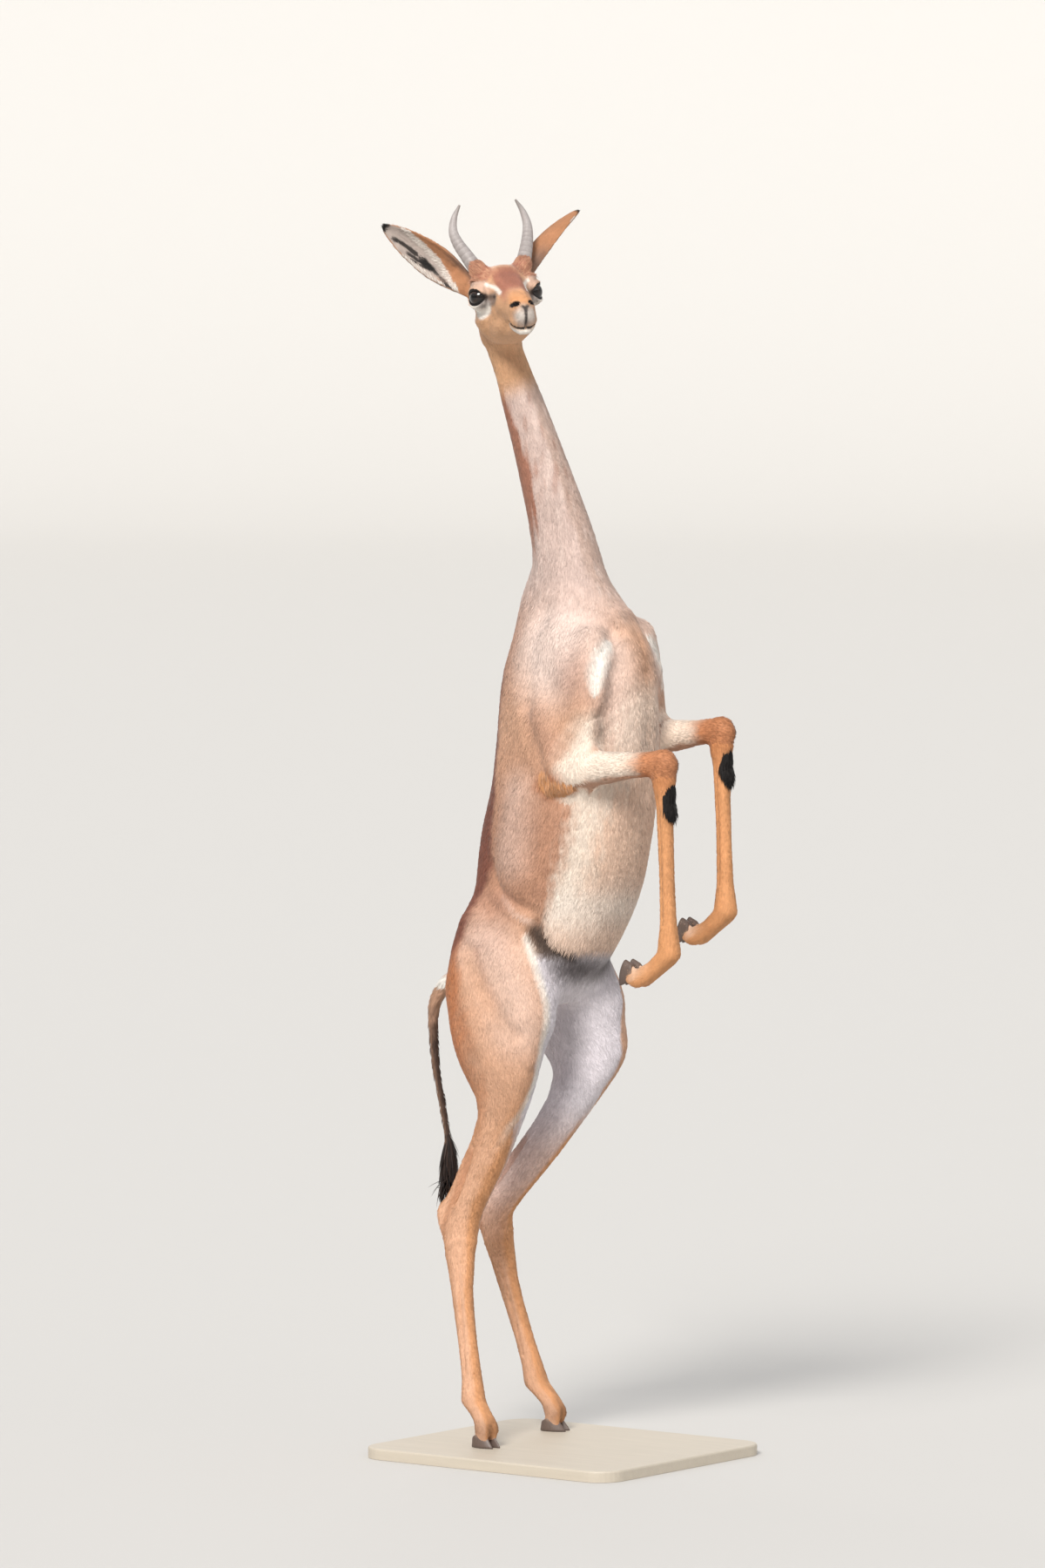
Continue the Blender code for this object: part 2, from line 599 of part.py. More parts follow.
def mouth_form():
    """The line of the mouth round the muzzle, as a wedge-shaped cutter in the head's frame."""
    corner_x, front_x, half_width = 0.072, 0.1145, 0.0235
    corner_z, front_z = -0.0585, -0.0715
    centre = np.array((0.058, 0.0, 0.0))
    points, sections = [], 17
    for index in range(sections):
        turn = math.radians(-90 + 180 * index / (sections - 1))
        x = corner_x + (front_x - corner_x) * math.cos(turn) ** 0.7 if index % (sections - 1) else corner_x
        place = np.array((x, half_width * math.sin(turn), 0.0))
        height = corner_z + (front_z - corner_z) * math.cos(turn) ** 0.8 if index % (sections - 1) else corner_z
        reach = 0.25 + 0.75 * min(1.0, 4.0 * math.cos(turn))
        out = (place - centre) / np.linalg.norm(place - centre)
        for step, rise in ((-0.0055 * reach, 0.0), (0.010, 0.0022 * reach), (0.010, -0.0022 * reach)):
            points.append(place + out * step + np.array((0, 0, height + rise)))
    faces = [(0, 2, 1), (len(points) - 3, len(points) - 2, len(points) - 1)]
    for index in range(sections - 1):
        for k in range(3):
            low, next_low = index * 3 + k, index * 3 + (k + 1) % 3
            faces.append((low, next_low, next_low + 3, low + 3))
    return np.array(points, float), faces


def lock_form(root, way, bend, length, width, thickness):
    """A flat, tapered lock of hair that starts along way and bends by the vector bend at its tip."""
    root, way, bend = Vector(root), Vector(way).normalized(), Vector(bend)
    rows = []
    for share in (0.0, 0.25, 0.5, 0.75, 1.0):
        place = root + way * (length * share) + bend * (length * share * share)
        swell = (0.75 + 0.5 * math.sin(math.pi * min(share * 1.4, 1.0))) * (1 - 0.82 * share**2)
        rows.append((*place, thickness / 2 * swell, width / 2 * swell))
    return rows


def tuft_rows(count, seed, centre, axis, front, spread, length, width):
    """Rows for the locks of a tuft that grows round an axis, each of its own length and bend."""
    draw = np.random.default_rng(seed)
    axis, front = Vector(axis).normalized(), Vector(front)
    side = axis.cross(front).normalized()
    locks = []
    for index in range(count):
        angle = 2 * math.pi * (index + draw.uniform(-0.2, 0.2)) / count
        out = front * math.cos(angle) + side * math.sin(angle)
        start = Vector(centre) + out * spread * 0.35 - axis * draw.uniform(0.0, 0.22) * length
        way = axis + out * draw.uniform(0.10, 0.22)
        bend = -out * draw.uniform(0.04, 0.12) + side * draw.uniform(-0.05, 0.05)
        reach = length * draw.uniform(0.82, 1.08)
        locks.append((lock_form(start, way, bend, reach, width * draw.uniform(0.8, 1.2), width * 0.42), out))
    return locks


def new_object(name, points, faces, smooth=False):
    """A mesh object in the scene, made from points and faces."""
    mesh = bpy.data.meshes.new(name)
    mesh.from_pydata([tuple(p) for p in points], [], [tuple(f) for f in faces])
    mesh.update()
    if smooth:
        mesh.shade_smooth()
    made = bpy.data.objects.new(name, mesh)
    bpy.context.scene.collection.objects.link(made)
    return made


def joined(forms):
    """Several forms as one list of points and one of faces."""
    points, faces, start = [], [], 0
    for form_points, form_faces in forms:
        points.append(form_points)
        faces += [tuple(i + start for i in face) for face in form_faces]
        start += len(form_points)
    return np.vstack(points), faces


def settle(obj):
    """Replaces an object's mesh by what its modifiers make of it, and removes them."""
    bpy.context.view_layer.update()
    graph = bpy.context.evaluated_depsgraph_get()
    mesh = bpy.data.meshes.new_from_object(obj.evaluated_get(graph), depsgraph=graph)
    obj.modifiers.clear()
    old, obj.data = obj.data, mesh
    bpy.data.meshes.remove(old)
    return obj


def fuse(name, forms, voxel):
    """One closed mesh that covers all the forms."""
    obj = new_object(name, *joined(forms))
    remesh = obj.modifiers.new("Fuse", "REMESH")
    remesh.mode = "VOXEL"
    remesh.voxel_size = voxel
    return settle(obj)


def mesh_points(mesh):
    """A mesh's points as an array."""
    flat = np.empty(len(mesh.vertices) * 3, np.float32)
    mesh.vertices.foreach_get("co", flat)
    return flat.reshape(-1, 3).astype(float)


def set_points(mesh, points):
    """Puts an array of points back into a mesh."""
    mesh.vertices.foreach_set("co", points.astype(np.float32).ravel())
    mesh.update()


def relax(mesh, rounds, share):
    """Softens the creases between forms. share, from 0 to 1, is how freely each point moves."""
    ends = np.empty(len(mesh.edges) * 2, np.int32)
    mesh.edges.foreach_get("vertices", ends)
    first, second = ends.reshape(-1, 2).T
    points = mesh_points(mesh)
    count = np.bincount(ends, minlength=len(points))
    for _ in range(rounds):
        total = np.empty_like(points)
        for axis in range(3):
            column = points[:, axis]
            total[:, axis] = np.bincount(first, column[second], len(points))
            total[:, axis] += np.bincount(second, column[first], len(points))
        points += 0.5 * share[:, None] * (total / count[:, None] - points)
    set_points(mesh, points)


def thin(obj, triangles):
    """Thins an object's mesh to a number of triangles."""
    decimate = obj.modifiers.new("Thin", "DECIMATE")
    obj.data.calc_loop_triangles()
    decimate.ratio = triangles / len(obj.data.loop_triangles)
    settle(obj)


def cut(obj, cutter, solver="EXACT"):
    """Takes a cutter's shape out of an object, and removes the cutter."""
    carve = obj.modifiers.new("Cut", "BOOLEAN")
    carve.operation = "DIFFERENCE"
    carve.object = cutter
    carve.solver = solver
    settle(obj)
    bpy.data.objects.remove(cutter)
    return obj


def slab(centre, normal, half_width, half_height, thickness=GAP):
    """A thin square plate that parts flesh where it passes, or a thick one that takes it away."""
    normal = Vector(normal).normalized()
    turn = normal.to_track_quat("Z", "Y").to_matrix().to_4x4()
    corners = [
        (x * half_width, y * half_height, z)
        for z in (-thickness / 2, thickness / 2)
        for x, y in ((-1, -1), (1, -1), (1, 1), (-1, 1))
    ]
    faces = [(3, 2, 1, 0), (4, 5, 6, 7), (0, 1, 5, 4), (1, 2, 6, 5), (2, 3, 7, 6), (3, 0, 4, 7)]
    points, faces = moved((np.array(corners, float), faces), Matrix.Translation(at(*centre)) @ turn)
    return points, faces


def half_space(centre, normal, short=0.0, size=0.2):
    """A block that takes away all flesh beyond a plane, or beyond where it ends short of the block."""
    middle = Vector(centre) + Vector(normal).normalized() * (size / 2 - short)
    return slab(middle, normal, size, size, size)


def largest_surface(mesh):
    """Keeps only the largest closed surface of a mesh."""
    grid = bmesh.new()
    grid.from_mesh(mesh)
    shells = shells_of(grid)
    shells.sort(key=len)
    for shell in shells[:-1]:
        bmesh.ops.delete(grid, geom=list(shell), context="VERTS")
    grid.to_mesh(mesh)
    grid.free()


def shells_of(grid):
    """The separate surfaces of a bmesh, each as a list of its vertices."""
    seen, shells = set(), []
    for start in grid.verts:
        if start.index in seen:
            continue
        seen.add(start.index)
        shell, queue = [], [start]
        while queue:
            vert = queue.pop()
            shell.append(vert)
            for edge in vert.link_edges:
                other = edge.other_vert(vert)
                if other.index not in seen:
                    seen.add(other.index)
                    queue.append(other)
        shells.append(shell)
    return shells


def part_by_seeds(obj, seeds):
    """Splits an object into its separate surfaces, each named after the nearest seed point."""
    grid = bmesh.new()
    grid.from_mesh(obj.data)
    best = {}
    for shell in shells_of(grid):
        middle = sum((vert.co for vert in shell), Vector()) / len(shell)
        name = min(seeds, key=lambda key: (at(*seeds[key]) - middle).length)
        if name not in best or len(best[name]) < len(shell):
            best[name] = shell
    for name, shell in best.items():
        index = {vert: i for i, vert in enumerate(shell)}
        points = [tuple(vert.co) for vert in shell]
        faces = [[index[v] for v in face.verts] for face in grid.faces if face.verts[0] in index]
        new_object(name, points, faces, smooth=True)
    grid.free()
    bpy.data.objects.remove(obj)
    missing = set(seeds) - set(best)
    if missing:
        raise RuntimeError(f"no piece was cut off for {sorted(missing)}")


def add_locks(obj, locks):
    """Fuses locks of hair to an object, each as a closed mesh of its own."""
    pieces = bpy.data.collections.new(obj.name + "_locks")
    bpy.context.scene.collection.children.link(pieces)
    for rows, out in locks:
        lock = new_object("lock", *loft(rows, out, sides=4, steps=1, cap=0, smooth=False))
        bpy.context.scene.collection.objects.unlink(lock)
        pieces.objects.link(lock)
    union = obj.modifiers.new("Locks", "BOOLEAN")
    union.operation = "UNION"
    union.operand_type = "COLLECTION"
    union.collection = pieces
    union.solver = "EXACT"
    settle(obj)
    for lock in list(pieces.objects):
        bpy.data.objects.remove(lock)
    bpy.data.collections.remove(pieces)
    largest_surface(obj.data)


def body_forms():
    """Every form of the body below the head, in the part's frame."""
    forms = trunk_forms() + neck_forms() + [tail_form()]
    for side in (RIGHT, LEFT):
        forms += shoulder_forms(side, FORE_JOINTS[side]) + foreleg_forms(side, FORE_JOINTS[side])
        forms += hind_leg_forms(side, HIND_JOINTS[side])
    return forms


def softness(points):
    """How far the body's creases are softened: most on trunk and thighs, least on feet and tail."""
    u, v, z = (points - np.array(STANCE)).T
    arm = np.clip((0.245 - u) / 0.03, 0, 1)
    tail = np.clip((u + 0.125) / 0.02, 0, 1)
    leg = np.clip((z - 0.46) / 0.14, 0, 1)
    return 0.035 + 0.965 * np.minimum.reduce([leg, arm, tail])


def make_body():
    """The body below the head as one mesh, with the hooves' sockets cut, then its named pieces."""
    body = fuse("body", body_forms(), BODY_VOXEL)
    relax(body.data, BODY_ROUNDS, softness(mesh_points(body.data)))
    thin(body, BODY_TRIANGLES)
    hooves, sockets = [], []
    for hind, all_joints, name in ((False, FORE_JOINTS, "fore"), (True, HIND_JOINTS, "hind")):
        for side in (RIGHT, LEFT):
            frame = foot_frame(all_joints[side], hind)
            for claw in (-1, 1):
                place = "outer" if claw == side else "inner"
                hooves.append((f"hoof_{name}_{SIDE_NAMES[side]}_{place}", hoof_form(frame, claw)))
                sockets.append(hoof_form(frame, claw, GAP))
    cut(body, new_object("sockets", *joined(sockets)))
    for name, form in hooves:
        new_object(name, *form)
    plates = [half_space(NECK_TOP, NECK_TOP_NORMAL), slab(NECK_FOOT, NECK_FOOT_NORMAL, 0.16, 0.16)]
    plates.append(slab(TAIL_ROOT, TAIL_ROOT_NORMAL, 0.03, 0.03))
    for side in (RIGHT, LEFT):
        name = SIDE_NAMES[side]
        plates.append(slab((0.0, side * 0.093, 0.815), (0, side * 0.890, -0.456), 0.19, 0.185))
        fore, hind = FORE_JOINTS[side], HIND_JOINTS[side]
        elbow, knee = Vector(fore["elbow"]), Vector(fore["knee"])
        below_elbow = Vector((0.244, side * 0.114, elbow.z + 0.004))
        plates.append(slab(below_elbow, (0.80, side * 0.45, -0.38), 0.050, 0.078))
        plates.append(slab(knee.lerp(Vector(fore["fetlock"]), 0.03), (-0.55, 0, 0.83), 0.045, 0.045))
        stifle, hock, fetlock = (Vector(hind[key]) for key in ("stifle", "hock", "fetlock"))
        plates.append(slab(stifle.lerp(hock, 0.12) + Vector((-0.015, 0, 0)), (0.36, 0, 0.93), 0.075, 0.12))
        plates.append(slab(hock.lerp(fetlock, 0.03), (0.15, 0, 0.99), 0.045, 0.065))
    for plate in plates:
        cut(body, new_object("plate", *plate))
    part_by_seeds(body, body_seeds())


def body_seeds():
    """A point in each named piece of the body below the head."""
    seeds = {"torso": (0.09, 0, 1.05), "neck": (0.065, -0.03, 1.60), "tail": (-0.155, 0, 0.60)}
    for side in (RIGHT, LEFT):
        name, fore, hind = SIDE_NAMES[side], FORE_JOINTS[side], HIND_JOINTS[side]
        pairs = (
            ("forearm_" + name, fore["elbow"], fore["knee"]),
            ("cannon_fore_" + name, fore["knee"], fore["fetlock"]),
            ("thigh_" + name, hind["hip"], hind["stifle"]),
            ("shank_" + name, hind["stifle"], hind["hock"]),
            ("cannon_hind_" + name, hind["hock"], hind["fetlock"]),
        )
        for piece, start, end in pairs:
            seeds[piece] = tuple((Vector(start) + Vector(end)) / 2)
    return seeds


def make_head():
    """The head with its eyes, horns and ears."""
    frame = head_frame()
    forms = [moved(form, frame) for form in skull_forms()] + neck_forms()[:1]
    head = fuse("head", forms, HEAD_VOXEL)
    relax(head.data, HEAD_ROUNDS, np.ones(len(head.data.vertices)))
    thin(head, HEAD_TRIANGLES)
    below = half_space(NECK_TOP, [-x for x in NECK_TOP_NORMAL], GAP)
    cut(head, new_object("below", *below))
    sockets = []
    for side in (RIGHT, LEFT):
        name = SIDE_NAMES[side]
        new_object("eye_" + name, *moved(eye_form(side), frame), smooth=True)
        new_object("horn_" + name, *moved(horn_form(side), frame), smooth=True)
        new_object("ear_" + name, *moved(ear_form(side), frame), smooth=True)
        for form in (eye_form(side, GAP), horn_form(side, GAP), grown(ear_form(side), GAP)):
            sockets.append(moved(form, frame))
    for socket in sockets:
        cut(head, new_object("socket", *socket))
    for side in (RIGHT, LEFT):
        cut(head, new_object("opening", *moved(lid_opening(side), frame)))
        cut(head, new_object("nostril", *moved(nostril_form(side), frame)))
    cut(head, new_object("mouth", *moved(mouth_form(), frame)))
    largest_surface(head.data)
    head.data.shade_smooth()


def make_base():
    """The plain base that the hind hooves stand on."""
    grid = bmesh.new()
    bmesh.ops.create_cube(grid, size=1.0)
    bmesh.ops.scale(grid, vec=(BASE_LENGTH, BASE_WIDTH, BASE_THICKNESS), verts=grid.verts)
    bmesh.ops.translate(grid, vec=(0, 0, BASE_THICKNESS / 2), verts=grid.verts)
    upright = [edge for edge in grid.edges if abs(edge.verts[0].co.z - edge.verts[1].co.z) > 0.001]
    bmesh.ops.bevel(grid, geom=upright, offset=BASE_CORNER, segments=8, profile=0.5, affect="EDGES")
    top = [edge for edge in grid.edges if all(vert.co.z > BASE_THICKNESS - 0.0001 for vert in edge.verts)]
    bmesh.ops.bevel(grid, geom=top, offset=0.003, segments=2, profile=0.5, affect="EDGES")
    mesh = bpy.data.meshes.new("stand_base")
    grid.to_mesh(mesh)
    grid.free()
    base = bpy.data.objects.new("stand_base", mesh)
    bpy.context.scene.collection.objects.link(base)


def add_tufts():
    """The dark tuft of the tail and the brush below each knee, fused to their pieces."""
    tail_end, before = (at(u, 0.0, z) for u, z, r in (TAIL[-1], TAIL[-2]))
    start = tail_end.lerp(before, 0.9)
    tuft = tuft_rows(10, 3, start, tail_end - before, (1, 0, 0), 0.012, 0.078, 0.014)
    add_locks(bpy.data.objects["tail"], tuft)
    for side in (RIGHT, LEFT):
        joints = FORE_JOINTS[side]
        knee, fetlock = Vector(joints["knee"]), Vector(joints["fetlock"])
        draw = np.random.default_rng(11 + side)
        locks = []
        for index in range(8):
            place = knee.lerp(fetlock, 0.13 + 0.012 * (index % 3) + draw.uniform(0, 0.02))
            angle = math.radians(-58 + 16.5 * index + draw.uniform(-4, 4))
            out = Vector((math.cos(angle), math.sin(angle), 0))
            start = at(*(place + out * 0.0085))
            rows = lock_form(start, (fetlock - knee).normalized() + out * 0.42, -out * 0.30,
                             draw.uniform(0.044, 0.056), 0.0115, 0.0050)
            locks.append((rows, out))
        add_locks(bpy.data.objects["cannon_fore_" + SIDE_NAMES[side]], locks)


def finish(name, colour, roughness):
    """A material, given to the object of the same name."""
    material = bpy.data.materials.new(name)
    material.use_nodes = True
    shader = material.node_tree.nodes["Principled BSDF"]
    shader.inputs["Base Color"].default_value = (*colour, 1.0)
    shader.inputs["Roughness"].default_value = roughness
    shader.inputs["Metallic"].default_value = 0.0
    bpy.data.objects[name].data.materials.clear()
    bpy.data.objects[name].data.materials.append(material)


def main():
    """Builds the part."""
    for obj in list(bpy.data.objects):
        bpy.data.objects.remove(obj)
    make_base()
    make_body()
    make_head()
    add_tufts()
    for obj in bpy.data.objects:
        key = next(word for word in COLOURS if obj.name.startswith(word))
        finish(obj.name, *COLOURS[key])


main()
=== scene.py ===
"""Looks of a life-size young male gerenuk that stands upright on its hind legs on a flat base.

Metres, +Z up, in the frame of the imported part: +X is the way the chest and belly face, +Y is the
animal's left. Most sizes are given from midway between the hind hooves (STANCE), and those of the
head in the head's own frame: X towards the nose, Y to the animal's left, Z up.
"""

from __future__ import annotations

import logging
import math
from dataclasses import dataclass, field
from enum import Enum
from typing import Callable

import bpy
import numpy as np
from mathutils import Matrix, Vector


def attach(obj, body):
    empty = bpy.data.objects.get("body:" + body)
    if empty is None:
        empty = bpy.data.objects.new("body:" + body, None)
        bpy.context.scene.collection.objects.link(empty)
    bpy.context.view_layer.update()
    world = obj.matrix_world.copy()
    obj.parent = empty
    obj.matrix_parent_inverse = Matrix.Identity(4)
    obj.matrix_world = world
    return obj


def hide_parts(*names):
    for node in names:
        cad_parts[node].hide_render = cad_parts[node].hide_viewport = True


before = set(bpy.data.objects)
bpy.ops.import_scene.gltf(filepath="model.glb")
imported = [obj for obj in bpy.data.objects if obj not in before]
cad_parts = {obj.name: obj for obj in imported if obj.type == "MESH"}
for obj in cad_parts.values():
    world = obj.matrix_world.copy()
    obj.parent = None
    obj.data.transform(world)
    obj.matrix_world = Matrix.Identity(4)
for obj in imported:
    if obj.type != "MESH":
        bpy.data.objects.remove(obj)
log = logging.getLogger("gerenuk")

Array = np.ndarray
Row = tuple[float, ...]
Path = tuple[Row, ...]

STANCE = np.array((-0.085, 0.0, 0.018))
BODY = "root"


class Side(Enum):
    """The animal's two sides, with the sign of Y there."""

    RIGHT = -1
    LEFT = 1

    @property
    def label(self) -> str:
        """The side's name as the nodes and the pieces have it."""
        return self.name.lower()


# ---------------------------------------------------------------------------------------------
# Numbers


def linear(red: float, green: float, blue: float) -> Array:
    """A colour given as 0 to 255 display values, as linear light."""
    share = np.array((red, green, blue)) / 255
    return np.where(share <= 0.04045, share / 12.92, ((share + 0.055) / 1.055) ** 2.4)


def ramp(value: Array, low: float, high: float) -> Array:
    """0 at low and 1 at high, smoothly, with low above high for a falling ramp."""
    t = np.clip((value - low) / (high - low), 0.0, 1.0)
    return t * t * (3 - 2 * t)


def hump(distance: Array, reach: float) -> Array:
    """1 at no distance, falling smoothly to 0 at reach."""
    return ramp(distance, reach, 0.0)


def unit(vectors: Array) -> Array:
    """Vectors at length 1."""
    return vectors / np.maximum(np.linalg.norm(vectors, axis=-1, keepdims=True), 1e-9)


def mix(base: Array, colour: Array, share: Array) -> Array:
    """Colours moved towards another colour by a share for each point."""
    return base + share[:, None] * (colour - base)


def ripple(points: Array, size: float, seed: int, waves: int = 9) -> Array:
    """Smooth noise between about -1 and 1.

    Args:
        points: where to read it, one row for each point.
        size: the breadth of its patches.
        seed: which of many such patterns it is.
        waves: how many plane waves it adds up.

    Returns:
        One number for each point.
    """
    draw = np.random.default_rng(seed)
    ways = unit(draw.normal(size=(waves, 3))) * draw.uniform(0.6, 1.7, (waves, 1)) * math.pi / size
    total = np.sin(points @ ways.T + draw.uniform(0, 2 * math.pi, waves)).sum(axis=1)
    return np.clip(total / math.sqrt(waves), -1.6, 1.6) / 1.6


def to_segment(points: Array, start: Array, end: Array) -> tuple[Array, Array]:
    """The distance of points from a straight stretch, and how far along it (0 to 1) they lie."""
    along = end - start
    share = np.clip((points - start) @ along / max(along @ along, 1e-12), 0.0, 1.0)
    return np.linalg.norm(points - start - share[:, None] * along, axis=1), share


def to_path(points: Array, path: Array) -> tuple[Array, Array]:
    """The distance of points from a path of straight stretches, and how far along it they lie."""
    nearest, place = np.full(len(points), 1e9), np.zeros(len(points))
    for index, (start, end) in enumerate(zip(path[:-1], path[1:])):
        distance, share = to_segment(points, start, end)
        closer = distance < nearest
        nearest[closer] = distance[closer]
        place[closer] = (index + share[closer]) / (len(path) - 1)
    return nearest, place


def stretch(start: Array, end: Array, shares: Row, shift: Row) -> Array:
    """Places at some shares of the way from start to end, all shifted alike."""
    return np.array([start + (end - start) * share + shift for share in shares])


def curve(rows: Array, steps: int) -> Array:
    """Rows joined by a Catmull-Rom curve, with steps new rows for each old one."""
    rows = np.asarray(rows, float)
    ends = np.vstack([2 * rows[0] - rows[1], rows, 2 * rows[-1] - rows[-2]])
    made = []
    for i in range(1, len(ends) - 2):
        a, b, c, d = ends[i - 1 : i + 3]
        for t in np.arange(steps) / steps:
            bend = (2 * a - 5 * b + 4 * c - d) * t**2 + (3 * b - a - 3 * c + d) * t**3
            made.append(b + 0.5 * ((c - a) * t + bend))
    return np.array([*made, rows[-1]])


# ---------------------------------------------------------------------------------------------
# Meshes


def solid(name: str, points: Array, triangles: Array, smooth: bool = True) -> bpy.types.Object:
    """A mesh object in the scene, from arrays of points and of triangles."""
    mesh = bpy.data.meshes.new(name)
    mesh.vertices.add(len(points))
    mesh.vertices.foreach_set("co", np.asarray(points, np.float32).ravel())
    mesh.loops.add(3 * len(triangles))
    mesh.loops.foreach_set("vertex_index", np.asarray(triangles, np.int32).ravel())
    mesh.polygons.add(len(triangles))
    mesh.polygons.foreach_set("loop_start", np.arange(len(triangles), dtype=np.int32) * 3)
    mesh.polygons.foreach_set("use_smooth", np.full(len(triangles), smooth))
    mesh.update(calc_edges=True)
    made = bpy.data.objects.new(name, mesh)
    bpy.context.scene.collection.objects.link(made)
    return made


def points_of(mesh: bpy.types.Mesh) -> Array:
    """A mesh's points as an array."""
    flat = np.empty(len(mesh.vertices) * 3, np.float32)
    mesh.vertices.foreach_get("co", flat)
    return flat.reshape(-1, 3).astype(float)


def triangles_of(mesh: bpy.types.Mesh) -> Array:
    """A mesh's triangles as an array of point numbers."""
    mesh.calc_loop_triangles()
    flat = np.empty(len(mesh.loop_triangles) * 3, np.int32)
    mesh.loop_triangles.foreach_get("vertices", flat)
    return flat.reshape(-1, 3)


def normals_of(points: Array, triangles: Array) -> Array:
    """The normal of the surface at each point, from the triangles around it."""
    a, b, c = (points[triangles[:, k]] for k in range(3))
    flat = np.cross(b - a, c - a)
    total = np.zeros_like(points)
    for axis in range(3):
        for corner in range(3):
            total[:, axis] += np.bincount(triangles[:, corner], flat[:, axis], len(points))
    return unit(total)


def settled(obj: bpy.types.Object) -> bpy.types.Object:
    """Puts what an object's modifiers make of its mesh in the mesh's place."""
    bpy.context.view_layer.update()
    graph = bpy.context.evaluated_depsgraph_get()
    made = bpy.data.meshes.new_from_object(obj.evaluated_get(graph), depsgraph=graph)
    obj.modifiers.clear()
    old, obj.data = obj.data, made
    bpy.data.meshes.remove(old)
    return obj


def move(mesh: bpy.types.Mesh, points: Array) -> None:
    """Puts a mesh's points where they are given."""
    mesh.vertices.foreach_set("co", points.astype(np.float32).ravel())
    mesh.update()


def tint(obj: bpy.types.Object, colours: Array) -> None:
    """Gives an object a colour for each of its points."""
    layer = obj.data.color_attributes.new("Tint", "FLOAT_COLOR", "POINT")
    rows = np.column_stack([np.clip(colours, 0, 1), np.ones(len(colours))])
    layer.data.foreach_set("color", rows.astype(np.float32).ravel())


def joined(rings: int, sides: int, turned: bool = False) -> Array:
    """The triangles between rings of points that follow one another.

    Args:
        rings: how many rings there are.
        sides: how many points each has.
        turned: whether the triangles face the other way.

    Returns:
        Three point numbers for each triangle.
    """
    low = np.arange((rings - 1) * sides)
    after = low // sides * sides + (low + 1) % sides
    a, b, c, d = low, after, after + sides, low + sides
    if turned:
        b, d = d, b
    return np.vstack([np.column_stack([a, b, c]), np.column_stack([a, c, d])])


def capped(rings: int, sides: int, turned: bool = False) -> Array:
    """The triangles of rings closed at both ends by two middle points, which come after the rings."""
    first = np.arange(sides)
    after, last = (first + 1) % sides, (rings - 1) * sides
    start = np.column_stack([after, first, np.full(sides, rings * sides)])
    end = np.column_stack([last + first, last + after, np.full(sides, rings * sides + 1)])
    ends = np.vstack([start, end])
    return np.vstack([joined(rings, sides, turned), ends[:, ::-1] if turned else ends])


def tube(
    centres: Array, fronts: Array, half_front: Array, half_side: Array, sides: int
) -> tuple[Array, Array]:
    """A closed tube of oval sections.

    Args:
        centres: the middle of each section.
        fronts: the way that half_front is measured, for each section or one for all.
        half_front: half of each section's size along its front.
        half_side: half of its size across that.
        sides: how many points each section has.

    Returns:
        Its points, ring by ring with the two ends' middles last, and its triangles.
    """
    tangents = unit(np.gradient(centres, axis=0))
    fronts = np.broadcast_to(np.asarray(fronts, float), centres.shape)
    fronts = unit(fronts - (fronts * tangents).sum(1, keepdims=True) * tangents)
    across = np.cross(tangents, fronts)
    turn = np.arange(sides) * 2 * math.pi / sides
    rings = (
        centres[:, None]
        + half_front[:, None, None] * np.cos(turn)[None, :, None] * fronts[:, None]
        + half_side[:, None, None] * np.sin(turn)[None, :, None] * across[:, None]
    )
    points = np.vstack([rings.reshape(-1, 3), centres[0], centres[-1]])
    return points, capped(len(centres), sides)


# ---------------------------------------------------------------------------------------------
# Finishes


